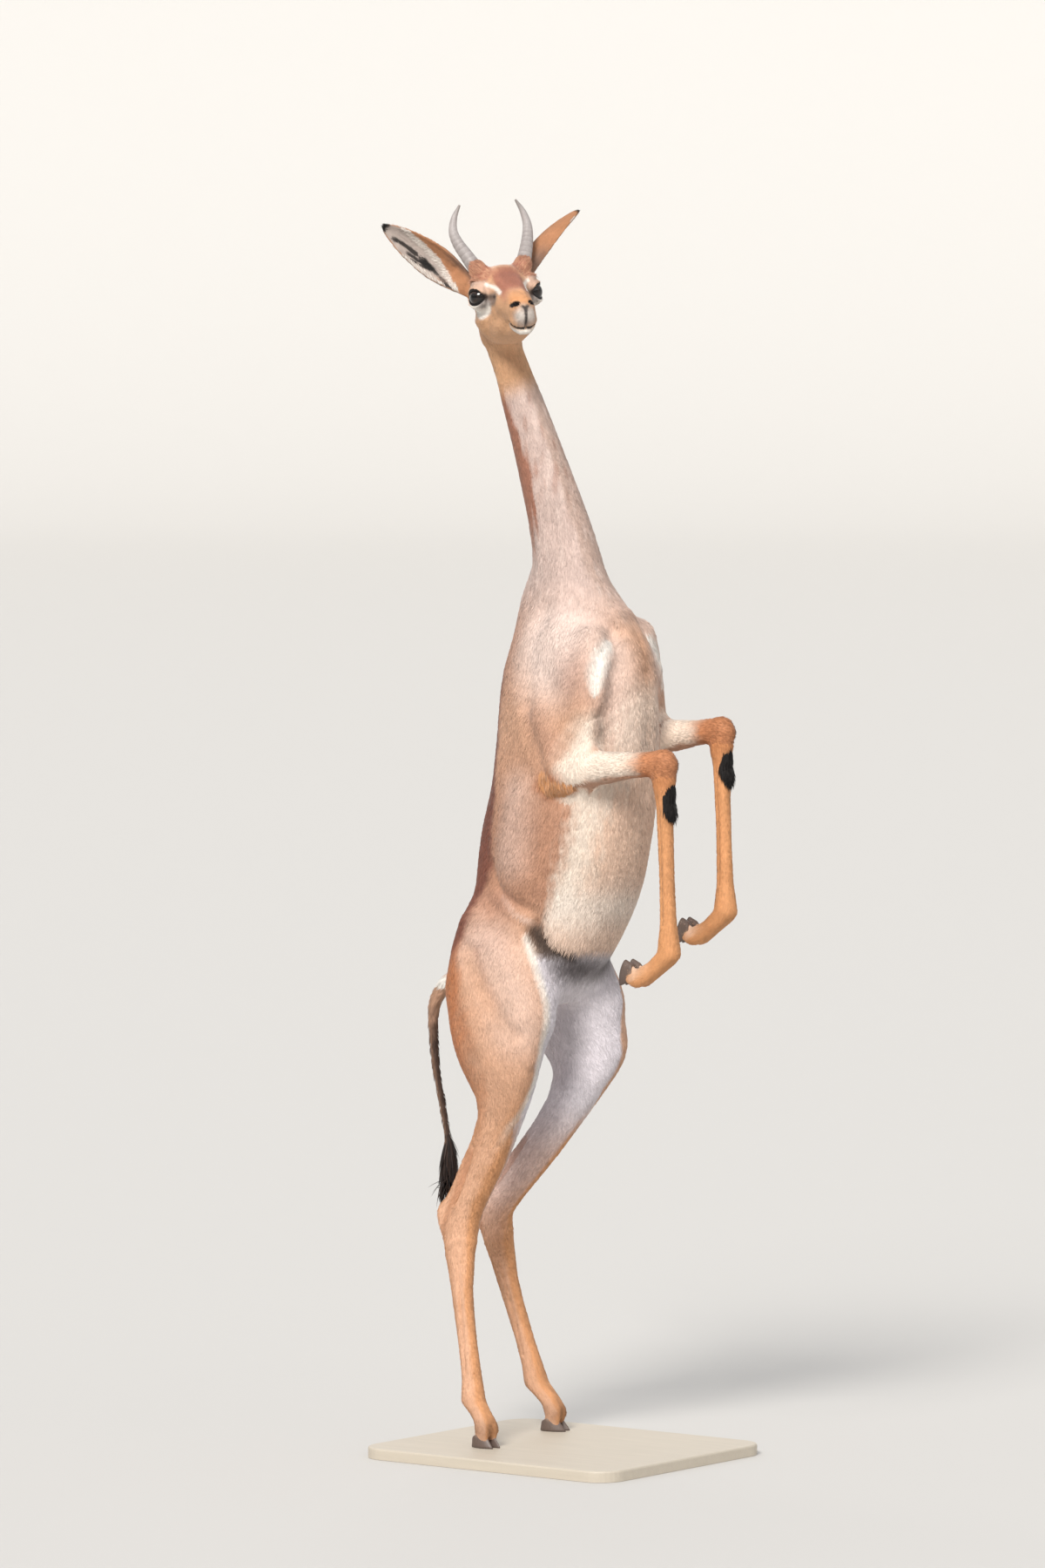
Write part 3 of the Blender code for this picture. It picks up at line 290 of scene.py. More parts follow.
@dataclass(frozen=True)
class Finish:
    """A surface whose colour is painted on its points, with grain as colour and as bump.

    grain_size is in metres, and bump_height is a share of it.
    """

    name: str
    roughness: float
    grain_size: float = 0.004
    grain_colour: float = 0.10
    bump: float = 0.0
    bump_height: float = 0.3
    sheen: float = 0.0
    sheen_roughness: float = 0.4
    gloss: float = 0.0
    gloss_roughness: float = 0.03
    specular: float = 0.5
    stretch: tuple[float, float, float] = (1.0, 1.0, 1.0)

    def material(self) -> bpy.types.Material:
        """The finish as a material, with its noise read in the object's own space."""
        made = bpy.data.materials.new(self.name)
        made.use_nodes = True
        nodes, links = made.node_tree.nodes, made.node_tree.links
        shader = nodes["Principled BSDF"]
        values = {
            "Roughness": self.roughness,
            "Specular IOR Level": self.specular,
            "Sheen Weight": self.sheen,
            "Sheen Roughness": self.sheen_roughness,
            "Coat Weight": self.gloss,
            "Coat Roughness": self.gloss_roughness,
        }
        for socket, value in values.items():
            shader.inputs[socket].default_value = value
        paint = nodes.new("ShaderNodeAttribute")
        paint.attribute_name = "Tint"
        place = nodes.new("ShaderNodeTexCoord")
        scale = nodes.new("ShaderNodeMapping")
        scale.inputs["Scale"].default_value = self.stretch
        links.new(place.outputs["Object"], scale.inputs["Vector"])
        noise = nodes.new("ShaderNodeTexNoise")
        noise.inputs["Scale"].default_value = 1.0 / self.grain_size
        noise.inputs["Detail"].default_value = 4.0
        links.new(scale.outputs["Vector"], noise.inputs["Vector"])
        spread = nodes.new("ShaderNodeMapRange")
        spread.inputs["To Min"].default_value = 1.0 - self.grain_colour
        spread.inputs["To Max"].default_value = 1.0 + self.grain_colour
        links.new(noise.outputs["Fac"], spread.inputs["Value"])
        blend = nodes.new("ShaderNodeVectorMath")
        blend.operation = "SCALE"
        links.new(paint.outputs["Color"], blend.inputs[0])
        links.new(spread.outputs["Result"], blend.inputs["Scale"])
        links.new(blend.outputs["Vector"], shader.inputs["Base Color"])
        if self.bump:
            raised = nodes.new("ShaderNodeBump")
            raised.inputs["Strength"].default_value = self.bump
            raised.inputs["Distance"].default_value = self.grain_size * self.bump_height
            links.new(noise.outputs["Fac"], raised.inputs["Height"])
            links.new(raised.outputs["Normal"], shader.inputs["Normal"])
        return made

    def dress(self, obj: bpy.types.Object) -> None:
        """Gives the finish to an object."""
        obj.data.materials.clear()
        obj.data.materials.append(self.material())


SKIN_FINISH = Finish("short_coat", 0.75, grain_size=0.0022, bump=0.45, sheen=0.12, specular=0.3)
HAIR_FINISH = Finish("hair", 0.62, grain_size=0.0030, grain_colour=0.08, sheen=0.10, specular=0.3)
HORN_FINISH = Finish("horn", 0.50, grain_size=0.0026, grain_colour=0.22, bump=0.35)
HOOF_FINISH = Finish("hoof", 0.45, grain_size=0.0028, grain_colour=0.20, bump=0.25, stretch=(1, 1, 0.25))
EYE_FINISH = Finish("eye", 0.10, grain_size=0.0009, grain_colour=0.16, gloss=0.6, specular=0.3)
LID_FINISH = Finish("lid", 0.5, grain_size=0.0012, grain_colour=0.10, bump=0.2, specular=0.3)
BASE_FINISH = Finish("base_board", 0.55, grain_size=0.012, grain_colour=0.07, bump=0.15, stretch=(0.12, 1, 1))


# ---------------------------------------------------------------------------------------------
# The build of the animal


@dataclass(frozen=True)
class Head:
    """Where the head is and which way it looks."""

    eyes_midway: Row = (0.052, -0.109, 1.852)
    turn: float = math.radians(-40.5)
    lift: float = math.radians(11.5)
    roll: float = math.radians(5.5)

    def matrix(self) -> Array:
        """The matrix that takes the head's own frame to the part's."""
        turned = Matrix.Rotation(self.turn, 4, "Z") @ Matrix.Rotation(-self.lift, 4, "Y")
        turned = turned @ Matrix.Rotation(self.roll, 4, "X")
        return np.array(Matrix.Translation(Vector(STANCE) + Vector(self.eyes_midway)) @ turned)

    def placed(self, points: Array) -> Array:
        """Points of the head's frame in the part's."""
        matrix = self.matrix()
        return np.asarray(points, float) @ matrix[:3, :3].T + matrix[:3, 3]

    def own(self, points: Array) -> Array:
        """Points of the part's frame in the head's."""
        matrix = self.matrix()
        return (points - matrix[:3, 3]) @ matrix[:3, :3]

    def turned(self, ways: Array) -> Array:
        """Directions of the head's frame in the part's."""
        return np.asarray(ways, float) @ self.matrix()[:3, :3].T


HEAD = Head()


@dataclass(frozen=True)
class Bone:
    """A stretch of the body: its coat lies along it, from start to end.

    radius is about half the thickness of the flesh there, and hair the length, width and lift
    of the tufts that grow on it.
    """

    name: str
    start: Array
    end: Array
    radius: float
    hair: tuple[float, float, float]
    front: tuple[float, float, float] = (1.0, 0.0, 0.0)


@dataclass(frozen=True)
class Skeleton:
    """The stretches of the body, from the same joints as the solids."""

    spine: tuple[Row, ...] = (
        (0.100, 0.0, 1.400), (0.114, 0.0, 1.300), (0.112, 0.0, 1.180), (0.106, 0.0, 1.040),
        (0.080, 0.0, 0.910), (0.030, 0.0, 0.810), (-0.020, 0.0, 0.700),
    )
    neck: tuple[Row, ...] = (
        (0.000, -0.068, 1.815), (0.018, -0.051, 1.740), (0.054, -0.032, 1.615), (0.091, -0.013, 1.475),
        (0.103, -0.005, 1.400),
    )
    joint: Row = (0.014, -0.055, 1.758)
    tail: tuple[Row, ...] = (
        (-0.098, 0.0, 0.742), (-0.165, 0.0, 0.718), (-0.178, 0.0, 0.680), (-0.156, 0.0, 0.520),
        (-0.147, 0.0, 0.380),
    )
    shoulder: dict[Side, Row] = field(
        default_factory=lambda: {Side.RIGHT: (0.198, -0.072, 1.292), Side.LEFT: (0.196, 0.070, 1.302)}
    )
    fore: dict[Side, tuple[Row, ...]] = field(
        default_factory=lambda: {
            Side.RIGHT: ((0.165, -0.104, 1.098), (0.350, -0.090, 1.117), (0.355, -0.080, 0.812)),
            Side.LEFT: ((0.160, 0.104, 1.136), (0.334, 0.088, 1.160), (0.350, 0.080, 0.868)),
        }
    )
    hind: dict[Side, tuple[Row, ...]] = field(
        default_factory=lambda: {
            Side.RIGHT: (
                (-0.004, -0.066, 0.775), (0.058, -0.097, 0.625), (-0.064, -0.071, 0.362),
                (-0.022, -0.098, 0.074), (0.031, -0.105, 0.0),
            ),
            Side.LEFT: (
                (0.004, 0.066, 0.775), (0.086, 0.098, 0.636), (-0.092, 0.054, 0.366),
                (-0.056, 0.116, 0.078), (0.001, 0.128, 0.0),
            ),
        }
    )
    fore_toe: Row = (-0.092, 0.0, -0.054)
    ears: dict[Side, tuple[Row, Row, Row]] = field(
        default_factory=lambda: {
            Side.RIGHT: ((-0.046, -0.038, 0.018), (-0.13, -0.72, 0.70), (0.80, -0.30, -0.20)),
            Side.LEFT: ((-0.048, 0.038, 0.018), (-0.28, 0.69, 0.68), (-0.35, 0.75, -0.40)),
        }
    )
    ear_length: float = 0.182

    def bones(self) -> list[Bone]:
        """Every stretch of the body."""
        made: list[Bone] = []

        def add(name: str, path: tuple[Row, ...], radius: float, hair: tuple[float, float, float]) -> None:
            """Adds the stretches of one path."""
            places = [np.array(place) + STANCE for place in path]
            for start, end in zip(places[:-1], places[1:]):
                made.append(Bone(name, start, end, radius, hair))

        add("trunk", self.spine, 0.120, (0.0095, 0.0020, 0.13))
        add("neck", self.neck, 0.040, (0.0085, 0.0018, 0.13))
        add("tail", self.tail, 0.011, (0.0110, 0.0016, 0.16))
        for side in Side:
            end = side.label
            elbow, knee, fetlock = self.fore[side]
            add(f"upper_{end}", (self.shoulder[side], elbow), 0.050, (0.0085, 0.0019, 0.12))
            add(f"forearm_{end}", (elbow, knee), 0.026, (0.0075, 0.0016, 0.12))
            add(f"fore_{end}", (knee, fetlock), 0.017, (0.0060, 0.0013, 0.12))
            toe = tuple(np.array(fetlock) + np.array(self.fore_toe))
            add(f"fore_{end}", (fetlock, toe), 0.019, (0.0048, 0.0012, 0.12))
            hip, stifle, hock, ankle, hoof = self.hind[side]
            add(f"haunch_{end}", (hip, stifle), 0.095, (0.0090, 0.0020, 0.12))
            add(f"shank_{end}", (stifle, hock), 0.036, (0.0078, 0.0017, 0.12))
            add(f"hind_{end}", (hock, ankle), 0.020, (0.0062, 0.0014, 0.12))
            add(f"hind_{end}", (ankle, hoof), 0.021, (0.0052, 0.0013, 0.12))
            root, way, _ = self.ears[side]
            tip = np.array(root) + unit(np.array(way)) * self.ear_length
            hair = (0.0050, 0.0011, 0.10)
            made.append(Bone(f"ear_{end}", HEAD.placed(root), HEAD.placed(tip), 0.026, hair))
        nose, brow, nape = HEAD.placed([(0.125, 0.0, -0.052), (0.02, 0.0, -0.020), (-0.085, 0.0, -0.010)])
        made.append(Bone("face", nose, brow, 0.034, (0.0036, 0.0009, 0.14)))
        made.append(Bone("face", brow, nape, 0.046, (0.0048, 0.0011, 0.14)))
        return made


SKELETON = Skeleton()
BONES = SKELETON.bones()
BONE_NAMES = list(dict.fromkeys(bone.name for bone in BONES))
FALL_OFF = 2.2  # how quickly what a stretch says fades with the distance from it


@dataclass
class Lie:
    """What the body's stretches say of points on it.

    Attributes:
        region: the number, in BONE_NAMES, of the stretch that each point belongs to.
        along: how far along that stretch it lies, 0 to 1.
        turn: the angle round it, 0 to 1.
        way: the direction of the coat there, not yet laid on the surface.
        hair: length, width and lift of a tuft there.
    """

    region: Array
    along: Array
    turn: Array
    way: Array
    hair: Array

    @classmethod
    def at(cls, points: Array) -> Lie:
        """Reads it at some points."""
        count = len(points)
        weights, ways, hair = np.zeros(count), np.zeros((count, 3)), np.zeros((count, 3))
        nearest = np.full(count, 1e9)
        region, along, turn = np.zeros(count, int), np.zeros(count), np.zeros(count)
        lengths = {n: sum(np.linalg.norm(b.end - b.start) for b in BONES if b.name == n) for n in BONE_NAMES}
        done = dict.fromkeys(BONE_NAMES, 0.0)
        for bone in BONES:
            distance, share = to_segment(points, bone.start, bone.end)
            scaled = distance / bone.radius
            weight = np.exp(-FALL_OFF * scaled**2) + 1e-12
            span = np.linalg.norm(bone.end - bone.start)
            way = (bone.end - bone.start) / span
            weights += weight
            ways += weight[:, None] * way
            hair += weight[:, None] * np.array(bone.hair)
            front = unit(np.array(bone.front) - np.dot(bone.front, way) * way)
            spoke = points - bone.start
            angle = np.arctan2(spoke @ np.cross(way, front), spoke @ front) / (2 * math.pi) + 0.5
            closer = scaled < nearest
            nearest[closer] = scaled[closer]
            region[closer] = BONE_NAMES.index(bone.name)
            along[closer] = ((done[bone.name] + share * span) / lengths[bone.name])[closer]
            turn[closer] = angle[closer]
            done[bone.name] += span
        return cls(region, along, turn, unit(ways), hair / weights[:, None])

    def among(self, *names: str) -> Array:
        """Which points belong to stretches whose names start so."""
        wanted = [i for i, name in enumerate(BONE_NAMES) if name.startswith(names)]
        return np.isin(self.region, wanted)


@dataclass
class Site:
    """Points on the skin, with the way it faces there and what the body's stretches say of them."""

    points: Array
    normals: Array
    lie: Lie = field(init=False)
    local: Array = field(init=False)
    own: Array = field(init=False)
    either: Array = field(init=False)
    face: Array = field(init=False)

    def __post_init__(self) -> None:
        """Reads the stretches of the body, and the places from STANCE and in the head's frame."""
        self.lie = Lie.at(self.points)
        self.local = self.points - STANCE
        self.own = HEAD.own(self.points)
        self.either = self.local * (1, 0, 1) + np.abs(self.local) * (0, 1, 0)
        self.face = self.own * (1, 0, 1) + np.abs(self.own) * (0, 1, 0)

    def spot(self, place: Row, size: Row, soft: float = 0.25, rough: Array | float = 0.0) -> Array:
        """1 inside an oval patch on both sides of the body, given from STANCE, and 0 outside."""
        return self.oval(self.either, place, size, soft, rough)

    def face_spot(self, place: Row, size: Row, soft: float = 0.25, rough: Array | float = 0.0) -> Array:
        """The same on both sides of the head, in its own frame."""
        return self.oval(self.face, place, size, soft, rough)

    @staticmethod
    def oval(points: Array, place: Row, size: Row, soft: float, rough: Array | float) -> Array:
        """1 inside an oval patch and 0 outside, with a soft and a rough edge."""
        return ramp(np.linalg.norm((points - place) / np.array(size), axis=1) + rough, 1 + soft, 1 - soft)

    def near(self, path: Path, reach: float, soft: float = 0.35) -> Array:
        """1 close to a path that is given from STANCE, on both sides of the body, and 0 far away."""
        return ramp(to_path(self.either, np.array(path))[0], reach * (1 + soft), reach * (1 - soft))

    def face_near(self, path: Path, reach: float, soft: float = 0.35) -> Array:
        """The same on both sides of the head, in its own frame."""
        return ramp(to_path(self.face, np.array(path))[0], reach * (1 + soft), reach * (1 - soft))


# ---------------------------------------------------------------------------------------------
# The markings


def under_knee(local: Array, side: Side, share: float, size: Row) -> Array:
    """The distance of points from the brush under a knee, as 1 at the edge of an oval of a size."""
    knee, fetlock = (np.array(place) for place in SKELETON.fore[side][1:])
    below = knee + (fetlock - knee) * share + np.array((0.018, 0.0, 0.0))
    return np.linalg.norm((local - below) / np.array(size), axis=1)


def hue(red: int, green: int, blue: int) -> Array:
    """A dataclass field that holds one colour, given as display values."""
    return field(default_factory=lambda: linear(red, green, blue))


@dataclass
class Paint:
    """The colours of a site's points while one marking after another is laid over them."""

    colours: Array

    def lay(self, colour: Array, share: Array) -> None:
        """Lays a colour over them, by a share for each point."""
        self.colours = mix(self.colours, colour, share)


@dataclass(frozen=True)
class Markings:
    """The colours of the coat and where they lie, the same on the skin and on its hair, with some painted
    highlights, painted shade and painted shadow among them.

    Places and paths are given from STANCE, and those of the face in the head's frame. The numbers
    beside them are reaches in metres, the breadth of soft edges and the strength of the colour.
    """

    fawn: Array = hue(210, 162, 130)
    mauve: Array = hue(184, 138, 118)
    saddle: Array = hue(122, 70, 56)
    flank_band: Array = hue(172, 116, 88)
    shoulder: Array = hue(234, 210, 198)
    neck: Array = hue(210, 184, 173)
    nape: Array = hue(164, 104, 76)
    throat: Array = hue(206, 174, 156)
    cream: Array = hue(240, 222, 204)
    white: Array = hue(246, 238, 228)
    # The inner legs' pale coat, greyed and cooled as painted shade.
    inner_grey: Array = hue(226, 221, 229)
    orange: Array = hue(216, 150, 94)
    deep_orange: Array = hue(188, 112, 60)
    rufous: Array = hue(168, 106, 84)
    cheek: Array = hue(220, 168, 124)
    muzzle: Array = hue(196, 180, 170)
    grey: Array = hue(120, 108, 104)
    black: Array = hue(26, 22, 21)
    dark_brown: Array = hue(60, 42, 34)
    ear_back: Array = hue(186, 128, 86)
    ear_lining: Array = hue(188, 172, 162)
    wave_size: float = 0.045
    fleck_size: float = 0.012
    hair_size: float = 0.005
    greyed: float = 0.10
    lit: float = 1.05

    def at(self, site: Site) -> Array:
        """The colour of the coat at each point of a site, as linear light."""
        wave = ripple(site.points, self.wave_size, 1)
        fine = ripple(site.points, self.fleck_size, 2)
        paint = Paint(np.tile(self.fawn, (len(site.points), 1)))
        for layer in (self.trunk, self.haunches, self.back, self.forelegs, self.throat_and_nape, self.tail,
                      self.head, self.ears):
            layer(paint, site, wave, fine)
        grey = paint.colours.mean(axis=1, keepdims=True)
        colours = ((1 - self.greyed) * paint.colours + self.greyed * grey) * self.lit
        shade = 1 + 0.05 * wave + 0.06 * fine + 0.05 * ripple(site.points * (1, 1, 0.35), self.hair_size, 3)
        return colours * shade[:, None]

    def trunk(self, paint: Paint, site: Site, wave: Array, fine: Array) -> None:
        """Saddle, flanks, shoulders, chest and belly, with a painted highlight on the flank, painted shade
        behind the shoulder's ridge and a painted shadow in the armpit.
        """
        u, z = site.local[:, 0], site.local[:, 2]
        body = ramp(z, 0.66, 0.72) * ramp(z, 1.44, 1.36) * ~site.lie.among("forearm", "fore_", "tail")
        ragged = u + 0.006 * wave + 0.005 * fine + 0.005 * ripple(site.points * (1, 1, 0.2), 0.006, 6)
        paint.lay(self.flank_band, body * ramp(z, 0.83, 0.90) * ramp(z, 1.20, 1.00) * 0.55)
        paint.lay(self.mauve, body * ramp(z, 1.16, 1.30) * ramp(ragged, 0.10, 0.02) * 0.55)
        paint.lay(self.shoulder, body * site.spot(self.SHOULDER, (0.085, 0.07, 0.095), 0.6) * 0.95)
        # Painted highlight: the shoulder's pale colour laid along the raised ribs of the flank.
        paint.lay(self.shoulder, body * site.near(self.FLANK_LIGHT, 0.034, 0.95) * 0.40)
        paint.lay(self.mauve * 0.9, body * site.near(self.WEDGE, 0.022, 0.95) * 0.38)
        # Painted shade: darker mauve behind the shoulder's ridge, where the surface turns from the light.
        paint.lay(self.mauve, body * site.spot(self.DELTOID, (0.040, 0.035, 0.045), 0.8) * 0.50)
        chest = body * site.near(self.CHEST_CREST, 0.022, 0.5)
        paint.lay(self.orange * 0.95, chest * 0.18)
        paint.lay(self.shoulder, body * site.near(self.CHEST_LIGHT, 0.036, 0.95) * 0.65)
        edge = np.interp(z, self.BELLY_HEIGHT, self.BELLY_EDGE)
        belly = ramp(ragged, edge - 0.016, edge + 0.016) * ramp(z, 0.78, 0.82) * ramp(z, 1.27, 1.20)
        paint.lay(self.cream, body * belly * (0.95 - 0.35 * ramp(z, 1.06, 1.16)))
        streaks = ripple(site.points * (1, 1, 0.25), 0.010, 5)
        under = ramp(ragged + 0.008 * streaks, edge + 0.022, edge + 0.060) * ramp(z, 0.86, 0.92)
        paint.lay(self.fawn * 1.12, body * belly * under * 0.55)
        paint.lay(self.white, body * belly * ramp(z, 0.95, 0.86) * 0.5)
        distance, place = to_path(site.either, np.array(self.STREAK))
        lens = 0.0180 * np.sqrt(np.sin(math.pi * np.clip(place, 0.001, 0.999)))
        streak = ramp(distance / lens + 0.12 * fine, 1.45, 0.25)
        # Painted shadow: dark mauve in the hollow of the armpit.
        paint.lay(self.mauve * 0.55, site.near(self.ARMPIT, 0.011, 0.95) * 0.55)
        paint.lay(self.white, streak * 0.88)

    SHOULDER = (0.125, 0.080, 1.305)
    DELTOID = (0.183, 0.101, 1.250)
    FLANK_LIGHT = ((0.075, 0.100, 1.060), (0.070, 0.100, 1.010), (0.060, 0.098, 0.960))
    WEDGE = ((0.105, 0.108, 1.190), (0.150, 0.117, 1.140))
    SADDLE_HEIGHT = (0.70, 0.794, 0.836, 0.871, 0.897, 0.929, 1.00, 1.111, 1.222, 1.30)
    SADDLE_EDGE = (-0.072, -0.052, -0.038, -0.033, -0.020, 0.000, 0.006, 0.008, 0.006, 0.004)
    CHEST_CREST = ((0.177, 0.030, 1.374), (0.193, 0.007, 1.362), (0.228, 0.004, 1.300), (0.236, 0.020, 1.250))
    CHEST_LIGHT = ((0.236, 0.058, 1.290), (0.244, 0.058, 1.200), (0.246, 0.058, 1.160))
    BELLY_HEIGHT = (0.78, 0.862, 0.894, 0.937, 0.993, 1.035, 1.09, 1.13, 1.20, 1.28)
    BELLY_EDGE = (0.075, 0.110, 0.130, 0.148, 0.164, 0.177, 0.198, 0.222, 0.238, 0.262)
    STREAK = ((0.214, 0.046, 1.312), (0.221, 0.074, 1.288), (0.220, 0.090, 1.256), (0.219, 0.096, 1.218))
    ARMPIT = ((0.222, 0.090, 1.190), (0.224, 0.082, 1.168))

    def back(self, paint: Paint, site: Site, wave: Array, fine: Array) -> None:
        """The dark saddle along the back, down to the rump."""
        u, z = site.local[:, 0], site.local[:, 2]
        edge = np.interp(z, self.SADDLE_HEIGHT, self.SADDLE_EDGE)
        ragged = u + 0.005 * wave + 0.004 * fine
        share = ramp(ragged, edge + 0.011, edge - 0.011) * ramp(z, 0.745, 0.83) * ramp(z, 1.36, 1.13)
        ridge = ramp(-site.normals[:, 0] + 0.05 * wave, 0.35, 0.95)
        ridge = ridge * ramp(z, 1.14, 1.26) * ramp(z, 1.52, 1.40)
        paint.lay(self.mauve * 0.82, ridge * 0.7)
        paint.lay(self.saddle, share * ~site.lie.among("tail") * 0.92)

    def haunches(self, paint: Paint, site: Site, wave: Array, fine: Array) -> None:
        """Thighs, rump patch, groin and the hind legs down to the hooves, with painted highlights on the
        thigh and on the flank's fold, painted shade along the thigh's groove, the hocks and the inner legs,
        and painted shadow in the groin and under the belly.
        """
        u, v, z = site.local.T
        normals = site.normals
        ragged = 0.06 * wave + 0.05 * fine
        low = ramp(z, 0.90, 0.82) * ~site.lie.among("tail", "fore_", "forearm")
        paint.lay(self.fawn * 1.04, low * 0.6)
        paint.lay(self.mauve, ramp(z, 0.77, 0.83) * ramp(z, 0.92, 0.88) * ramp(u, 0.09, 0.03) * 0.45)
        paint.lay(self.deep_orange, low * ramp(-normals[:, 0] + ragged, -0.05, 0.55) * 0.90)
        # Painted shade: darker orange along the groove between the thigh's muscles.
        paint.lay(self.orange * 0.82, low * site.near(self.THIGH_GROOVE, 0.012, 0.9) * 0.45)
        # Painted highlight: the shoulder's pale colour on the raised front of the thigh.
        paint.lay(self.shoulder, low * site.near(self.THIGH_LIGHT, 0.042, 0.95) * 0.42)
        # Painted highlight: a pale line along the edge of the flank's fold over the thigh.
        paint.lay(self.shoulder, site.near(self.FLANK_RIDGE, 0.0045, 0.9) * 0.45)
        leg = ramp(z, 0.66, 0.44)
        paint.lay(self.orange, low * leg * 0.85)
        paint.lay(self.shoulder, low * leg * ramp(np.abs(normals[:, 1]) + ragged, 0.6, 1.0) * 0.25)
        outward = normals[:, 1] * np.sign(v)
        inner = ramp(outward + 0.06 * wave, 0.10, -0.25) * ramp(z, 0.815, 0.79) * ramp(z, 0.44, 0.56)
        edge = np.interp(z, self.INNER_HEIGHT, self.INNER_EDGE)
        medial = ramp(np.abs(v) + 0.002 * fine, edge + 0.002, edge - 0.004) * ramp(normals[:, 0], -0.1, 0.25)
        inner = np.maximum(inner, medial * ramp(z, 0.812, 0.79) * ramp(z, 0.48, 0.56) * ramp(u, 0.0, 0.04))
        # The inner faces of the legs: pale coat, greyer and bluer than white as painted shade between the
        # legs.
        paint.lay(self.inner_grey, low * inner * 0.92)
        lower_inner = ramp(outward, 0.0, -0.5) * ramp(z, 0.30, 0.44) * ramp(z, 0.60, 0.50)
        paint.lay(self.inner_grey, low * lower_inner * 0.45)
        paint.lay(self.white, low * site.near(self.THIGH_STRIPE, 0.0065, 0.8) * ramp(z, 0.46, 0.60) * 0.75)
        # Painted shadow: near black under the belly and in the groin.
        groin = site.spot(self.GROIN_MIDDLE, (0.05, 0.055, 0.026), 0.7)
        paint.lay(self.dark_brown * 0.55, np.maximum(site.near(self.GROIN, 0.016, 0.7), groin) * 0.92)
        rump = hump(np.hypot((np.abs(v) - 0.012) / 0.050, (z - 0.700) / 0.085), 1.0) * ramp(u, -0.03, -0.07)
        paint.lay(self.white, ramp(rump + 0.1 * fine, 0.15, 0.5))
        # Painted shade: darker orange in the hollow beside each hock's tendon.
        for side in Side:
            stifle, hock = (np.array(place) for place in SKELETON.hind[side][1:3])
            string = stretch(hock, stifle, (-0.12, 0.06, 0.40), (-0.015, 0.0, 0.0))
            paint.lay(self.deep_orange * 0.80, ramp(to_path(site.local, string)[0], 0.022, 0.012) * 0.45)
        foot = ramp(z, 0.060, 0.035)
        paint.lay(self.dark_brown, foot * site.lie.among("hind") * 0.35)

    THIGH_GROOVE = (
        (-0.019, 0.114, 0.804), (0.016, 0.128, 0.750), (0.051, 0.132, 0.704), (0.082, 0.127, 0.670),
    )
    THIGH_LIGHT = (
        (0.005, 0.112, 0.825), (0.045, 0.120, 0.785), (0.075, 0.120, 0.735), (0.085, 0.118, 0.690),
    )
    THIGH_STRIPE = (
        (0.082, 0.092, 0.828), (0.099, 0.089, 0.780), (0.120, 0.089, 0.725), (0.117, 0.092, 0.669),
        (0.096, 0.088, 0.598), (0.076, 0.095, 0.548), (0.056, 0.104, 0.524), (0.010, 0.100, 0.455),
    )
    INNER_HEIGHT = (0.46, 0.524, 0.548, 0.598, 0.669, 0.725, 0.78, 0.828)
    INNER_EDGE = (0.083, 0.097, 0.093, 0.086, 0.090, 0.088, 0.088, 0.090)
    FLANK_RIDGE = ((0.030, 0.094, 0.893), (0.059, 0.098, 0.868), (0.080, 0.096, 0.858), (0.104, 0.091, 0.852))
    GROIN_MIDDLE = (0.120, 0.020, 0.782)
    GROIN = ((0.099, 0.089, 0.838), (0.113, 0.076, 0.808), (0.133, 0.061, 0.797), (0.140, 0.030, 0.790))

    def forelegs(self, paint: Paint, site: Site, wave: Array, fine: Array) -> None:
        """Cream forearms, orange below, with the black brush under each knee."""
        local, normals, lie = site.local, site.normals, site.lie
        u, z = local[:, 0], local[:, 2]
        edge = np.interp(z, self.ARM_HEIGHT, self.ARM_EDGE)
        ragged = u + 0.008 * wave + 0.006 * fine
        arm = lie.among("upper", "forearm") * ramp(ragged, edge - 0.018, edge + 0.026)
        arm = arm * (1 - lie.among("upper") * ramp(z, 1.118, 1.136) * ramp(u, 0.214, 0.226))
        paint.lay(self.cream, arm * ramp(z, 1.215, 1.165) * (np.abs(local[:, 1]) > 0.055) * 0.92)
        near_knee = lie.among("forearm") * ramp(lie.along + 0.05 * fine, 0.58, 0.88)
        paint.lay(self.deep_orange * (1.0, 0.95, 0.6), near_knee * 0.9)
        under = lie.among("forearm", "upper") * ramp(-normals[:, 2] + 0.2 * fine, 0.45, 0.85)
        paint.lay(self.deep_orange * 0.85, under * ramp(u, 0.13, 0.16) * 0.7)
        elbow = site.spot(self.ELBOW, (0.030, 0.030, 0.020), 0.6, 0.15 * fine)
        paint.lay(self.deep_orange, elbow * 0.85)
        cannon = lie.among("fore_")
        paint.lay(self.orange, cannon.astype(float))
        paint.lay(self.deep_orange, cannon * ramp(lie.along, 0.20, 0.02) * 0.6)
        pastern = cannon * ramp(lie.along + 0.02 * fine, 0.80, 0.96)
        paint.lay(self.cream, pastern * ramp(normals[:, 2] - 0.4 * normals[:, 0], -0.4, 0.8) * 0.8)
        for side in Side:
            reach = under_knee(local, side, 0.21, (0.019, 0.018, 0.029))
            paint.lay(self.black, ramp(reach + 0.08 * fine, 1.05, 0.85))

    ELBOW = (0.148, 0.124, 1.078)
    ARM_HEIGHT = (1.05, 1.09, 1.145, 1.20, 1.24)
    ARM_EDGE = (0.158, 0.162, 0.176, 0.200, 0.218)

